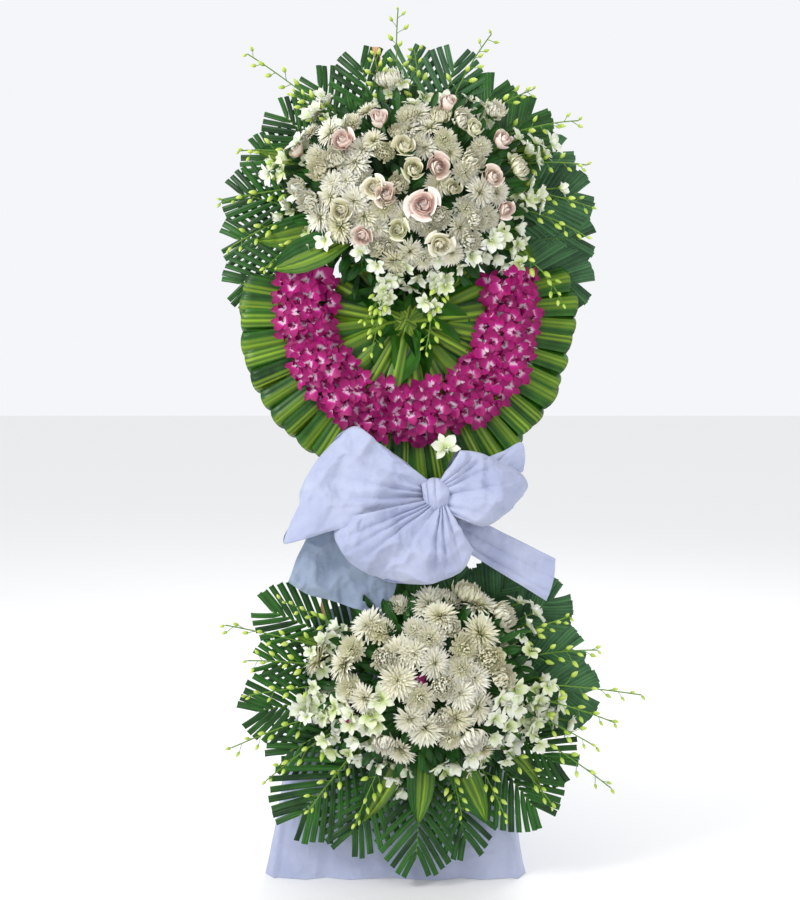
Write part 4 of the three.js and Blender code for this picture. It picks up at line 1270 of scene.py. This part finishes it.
def through(points, t):
    """A smooth curve through a few points, for t from 0 to 1."""
    n = len(points) - 1
    i = min(int(t * n), n - 1)
    f = t * n - i
    p0, p1 = points[max(i - 1, 0)], points[i]
    p2, p3 = points[i + 1], points[min(i + 2, n)]
    return [0.5 * (2 * b + (c - a) * f + (2 * a - 5 * b + 4 * c - d) * f * f + (3 * b - a - 3 * c + d) * f ** 3)
            for a, b, c, d in zip(p0, p1, p2, p3)]


def crease(t, pleats, seed):
    """Sharp-edged pleats: the top of each is round and the valley between is narrow."""
    warp = noise.noise(Vector((t * 3.1, seed, 0.5))) * 0.35
    return abs(math.sin((t + warp) * pleats * math.pi)) ** 0.7 - 0.6


def crumple(x, w, seed, size=46):
    """Flat facets between sharp ridges, large and small, as in cloth that was squashed in the hand."""
    p = Vector((x / size, seed, w / size))
    p += Vector((noise.noise(p * 0.8), 0, noise.noise(p * 0.8 + Vector((5, 0, 0))))) * 0.5
    facets = noise.voronoi(p * 0.8)[0]
    small = noise.voronoi(p * 2.1 + Vector((3, 0, 9)))[0]
    return facets[0] * 1.7 + small[0] * 0.55 + noise.noise(p * 0.6) - 1.1


def loop_sheet(name, knot, rim, front, back, pleats, seed, pleat_mm=13, crumple_mm=15, columns=100, rows=130):
    """A loop of cloth. `knot` and `rim` are lists of (x, w), read the same way round; front and back are d."""
    def shape(u, v):
        t = (u + 1) / 2
        k, r = through(knot, t), through(rim, t)
        phi = v * 2 * math.pi
        a = (1 - math.cos(phi)) / 2
        a = a ** 0.85
        x, w = k[0] + (r[0] - k[0]) * a, k[1] + (r[1] - k[1]) * a
        swell = math.sin(phi)
        depth = (front - back) / 2
        d = (front + back) / 2 + depth * swell * (0.55 + 0.45 * math.sin(math.pi * t) ** 0.5)
        fade = math.exp(-a * 1.6) * 0.9 + 0.16
        rise = pleat_mm * crease(t, pleats, seed) * fade * (0.35 + 0.65 * abs(swell))
        rumple = crumple_mm * crumple(x, w, seed + (9 if swell < 0 else 0)) * min(1, a * 2.2)
        sign = 1 if swell >= 0 else -1
        return place(x + rumple * 0.3, d + sign * (rise + rumple), w + rise * 0.3)

    return sheet_object(name, columns, rows, shape)


def flat_sheet(name, knot, rim, d_knot, d_rim, pleats, seed, pleat_mm=8, crumple_mm=10, columns=80, rows=60):
    """A hanging tail: a single sheet from a gathered end to a free edge."""
    def shape(u, v):
        t = (u + 1) / 2
        k, r = through(knot, t), through(rim, t)
        x, w = k[0] + (r[0] - k[0]) * v, k[1] + (r[1] - k[1]) * v
        d = d_knot + (d_rim - d_knot) * v
        rise = pleat_mm * crease(t, pleats, seed) * (1 - 0.55 * v)
        rumple = crumple_mm * crumple(x, w, seed)
        return place(x + rumple * 0.2, d + rise + rumple, w)

    return sheet_object(name, columns, rows, shape)


def cloth_area(piece):
    return sum(p.area for p in piece.data.polygons)


def cloth(piece, material, slot, flat, held, rests_on, *nodes):
    piece.data.materials.append(material)
    settle(piece, slot, *nodes)
    print("  measured", round(cloth_area(piece), 4), "m2, cut", flat)
    return piece


left_rim = [(-60, 862), (-102, 898), (-150, 862), (-192, 808), (-212, 744), (-238, 674), (-184, 698),
            (-116, 714)]
left_loop = loop_sheet("bow_left_loop", [(50, 786), (44, 766), (46, 744)], left_rim, 184, 112, 5, 2.0)
cloth(left_loop, bow_cloth, "bow_cloth", (0.24, 0.50), "folded", ["bow_knot"], "bow_loop_left")

# The end of the ribbon stands up behind the right loop, and is cut from the same length.
ear_rim = [(156, 840), (186, 852), (219, 868), (226, 842), (222, 812)]
ear = flat_sheet("bow_ear", [(120, 800), (136, 782), (150, 764)], ear_rim, 126, 116, 2, 17.0, 5, 8, 30, 30)
right_rim = [(92, 852), (128, 848), (172, 832), (214, 806), (226, 778), (192, 738), (150, 707), (104, 716)]
right_front = loop_sheet("bow_right_front", [(56, 786), (62, 765), (56, 742)], right_rim,
                         190, 124, 6, 4.0, 11, 19)
cloth(join("bow_right_loop", [ear, right_front]), bow_cloth, "bow_cloth", (0.22, 0.36), "folded",
      ["bow_knot"], "bow_loop_right")

puff_rim = [(-134, 722), (-142, 690), (-128, 655), (-88, 622), (-42, 604), (10, 596), (58, 602), (100, 624),
            (122, 664)]
puff = loop_sheet("bow_puff_cloth", [(40, 758), (54, 748), (68, 756)], puff_rim, 206, 124, 6, 6.0, 14, 18)
cloth(puff, bow_cloth, "bow_cloth", (0.30, 0.38), "gathered", ["bow_knot"], "bow_puff")
knot_wrap = loop_sheet("bow_knot_wrap", [(24, 790), (50, 800), (78, 790)], [(34, 738), (54, 730), (80, 740)],
                       190, 126, 3, 8.0, 8, 10, 48, 60)
cloth(knot_wrap, bow_cloth, "bow_cloth", (0.09, 0.15), "gathered", ["bow_left_loop"], "bow_knot")

left_hem = [(-234, 596), (-196, 572), (-150, 560), (-96, 542), (-45, 532), (-24, 590)]
left_tail = flat_sheet("bow_left_tail", [(-186, 716), (-110, 704), (-29, 690)], left_hem,
                       112, 104, 3, 11.0, 6, 13)
# The left tail takes the darker copy of the cloth: painted shade from the puff in front of it.
cloth(left_tail, tail_cloth_painted_shade, "bow_cloth", (0.22, 0.17), "hung", ["bow_puff_cloth"], "bow_tail_left")
right_tail = flat_sheet("bow_right_tail", [(74, 748), (66, 720), (58, 690)],
                        [(286, 642), (282, 604), (268, 560)], 128, 116, 3, 13.0, 7, 8)
cloth(right_tail, bow_cloth, "bow_cloth", (0.09, 0.25), "hung", ["bow_puff_cloth"], "bow_tail_right")

# %% A single bloom above the knot
settle(copies("bow_flower", bloom, orchid_white, [place(70, 168, 856)], [facing(Vector((0.1, -1, 0.3)), 0.4)],
              [(0.03, 0.03, 0.03)], [0.3]), "orchid_stem")

# %% [markdown]
# ## Wire behind the bow
# A bow this size is wired to the stand: a soft florist's wire goes through the knot, back to both front
# battens, round each of them and back again.

# %% Bow wire
WIRE_W = 765
BATTEN_HALF, BATTEN_DEPTH = 9.5, 12


def round_batten(x, d):
    left, right = x - BATTEN_HALF, x + BATTEN_HALF
    front, back = d + BATTEN_DEPTH, d - BATTEN_DEPTH
    return [(left, front), (left, back), (right, back), (right, front)]


wire_paths = []
for foot_x, slant, d in ((208, -INWARD, -10), (-258, INWARD, -31)):
    x = foot_x + slant * WIRE_W
    route = [(KNOT[0], KNOT[1] - 20)] + round_batten(x, d) + [(KNOT[0], KNOT[1] - 22)]
    wire_paths.append([place(px, pd, WIRE_W + 3 * i) for i, (px, pd) in enumerate(route)])
settle(stems("bow_wire", wire_paths, 0.0011, stem_green, 6), "orchid_stem")

# %% [markdown]
# ## The skirt
# One piece of the same cloth is wrapped round the three feet, from the back leg round the front and back
# again, where its two ends overlap. It is tied above and loose below, so its folds start narrow, widen
# downwards, and break on the floor.

# %% Skirt
FRONT_LOW, FRONT_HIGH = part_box("skirt_front")
BACK_HIGH_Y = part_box("skirt_left")[1].y
SKIRT_TOP = FRONT_HIGH.z
# The back leg's line: it comes forward this share of the way to where the battens cross.
CROSSING_Y, CROSSING_Z, BACK_SHARE = 0.02, 1.44, 0.55
OVERLAP, LAP = 0.035, 0.006


def skirt_shape(u, v):
    z = SKIRT_TOP * v
    left, right = FRONT_LOW.x + INWARD * z, FRONT_HIGH.x - INWARD * z
    front = FRONT_LOW.y + math.tan(LEAN) * z
    back_y = BACK_HIGH_Y - (BACK_HIGH_Y - CROSSING_Y) * z / CROSSING_Z * BACK_SHARE
    back_x = (FRONT_LOW.x + FRONT_HIGH.x) / 2
    corners = [Vector((back_x + OVERLAP, back_y + LAP, z)), Vector((left, front, z)), Vector((right, front, z)),
               Vector((back_x - OVERLAP, back_y, z))]
    lengths = [(b - a).length for a, b in zip(corners, corners[1:])]
    run = (u + 1) / 2 * sum(lengths)
    side = 0
    while side < 2 and run > lengths[side]:
        run -= lengths[side]
        side += 1
    spot = corners[side].lerp(corners[side + 1], min(1, run / lengths[side]))
    edge = corners[side + 1] - corners[side]
    outwards = Vector((edge.y, -edge.x, 0)).normalized()
    loose = 1 - v
    fold = abs(math.sin(u * 21 + 2 * noise.noise(Vector((u * 3, 0, 1))))) ** 0.8
    dent = noise.noise(Vector((u * 5.5, v * 3.5, 3))) * 0.5 + 0.5
    sharp = 1 - abs(noise.noise(Vector((u * 9 + v * 2.5, v * 4, 8)))) * 2
    proud = 0.003 + loose * (0.010 * fold + 0.012 * dent) + 0.004 * sharp * (0.3 + loose)
    return spot + outwards * max(0.001, proud)


skirt = sheet_object("skirt_cloth_wrap", 220, 60, skirt_shape)
skirt.data.materials.append(skirt_cloth)
settle(skirt, "skirt_cloth", "skirt_front", "skirt_left", "skirt_right", leaning=False)
print("  measured", round(cloth_area(skirt), 4), "m2")

# %% [markdown]
# ## Finish
# The unit shapes are no longer needed.

# %% Finish
drop(leaflet, blade, floret_in, floret_out, bud, bloom, bloom_cupped, mum_dense, mum_spiky, mum_side,
     rose_open, rose_full, rose_half, collar_shape)
bpy.context.view_layer.update()
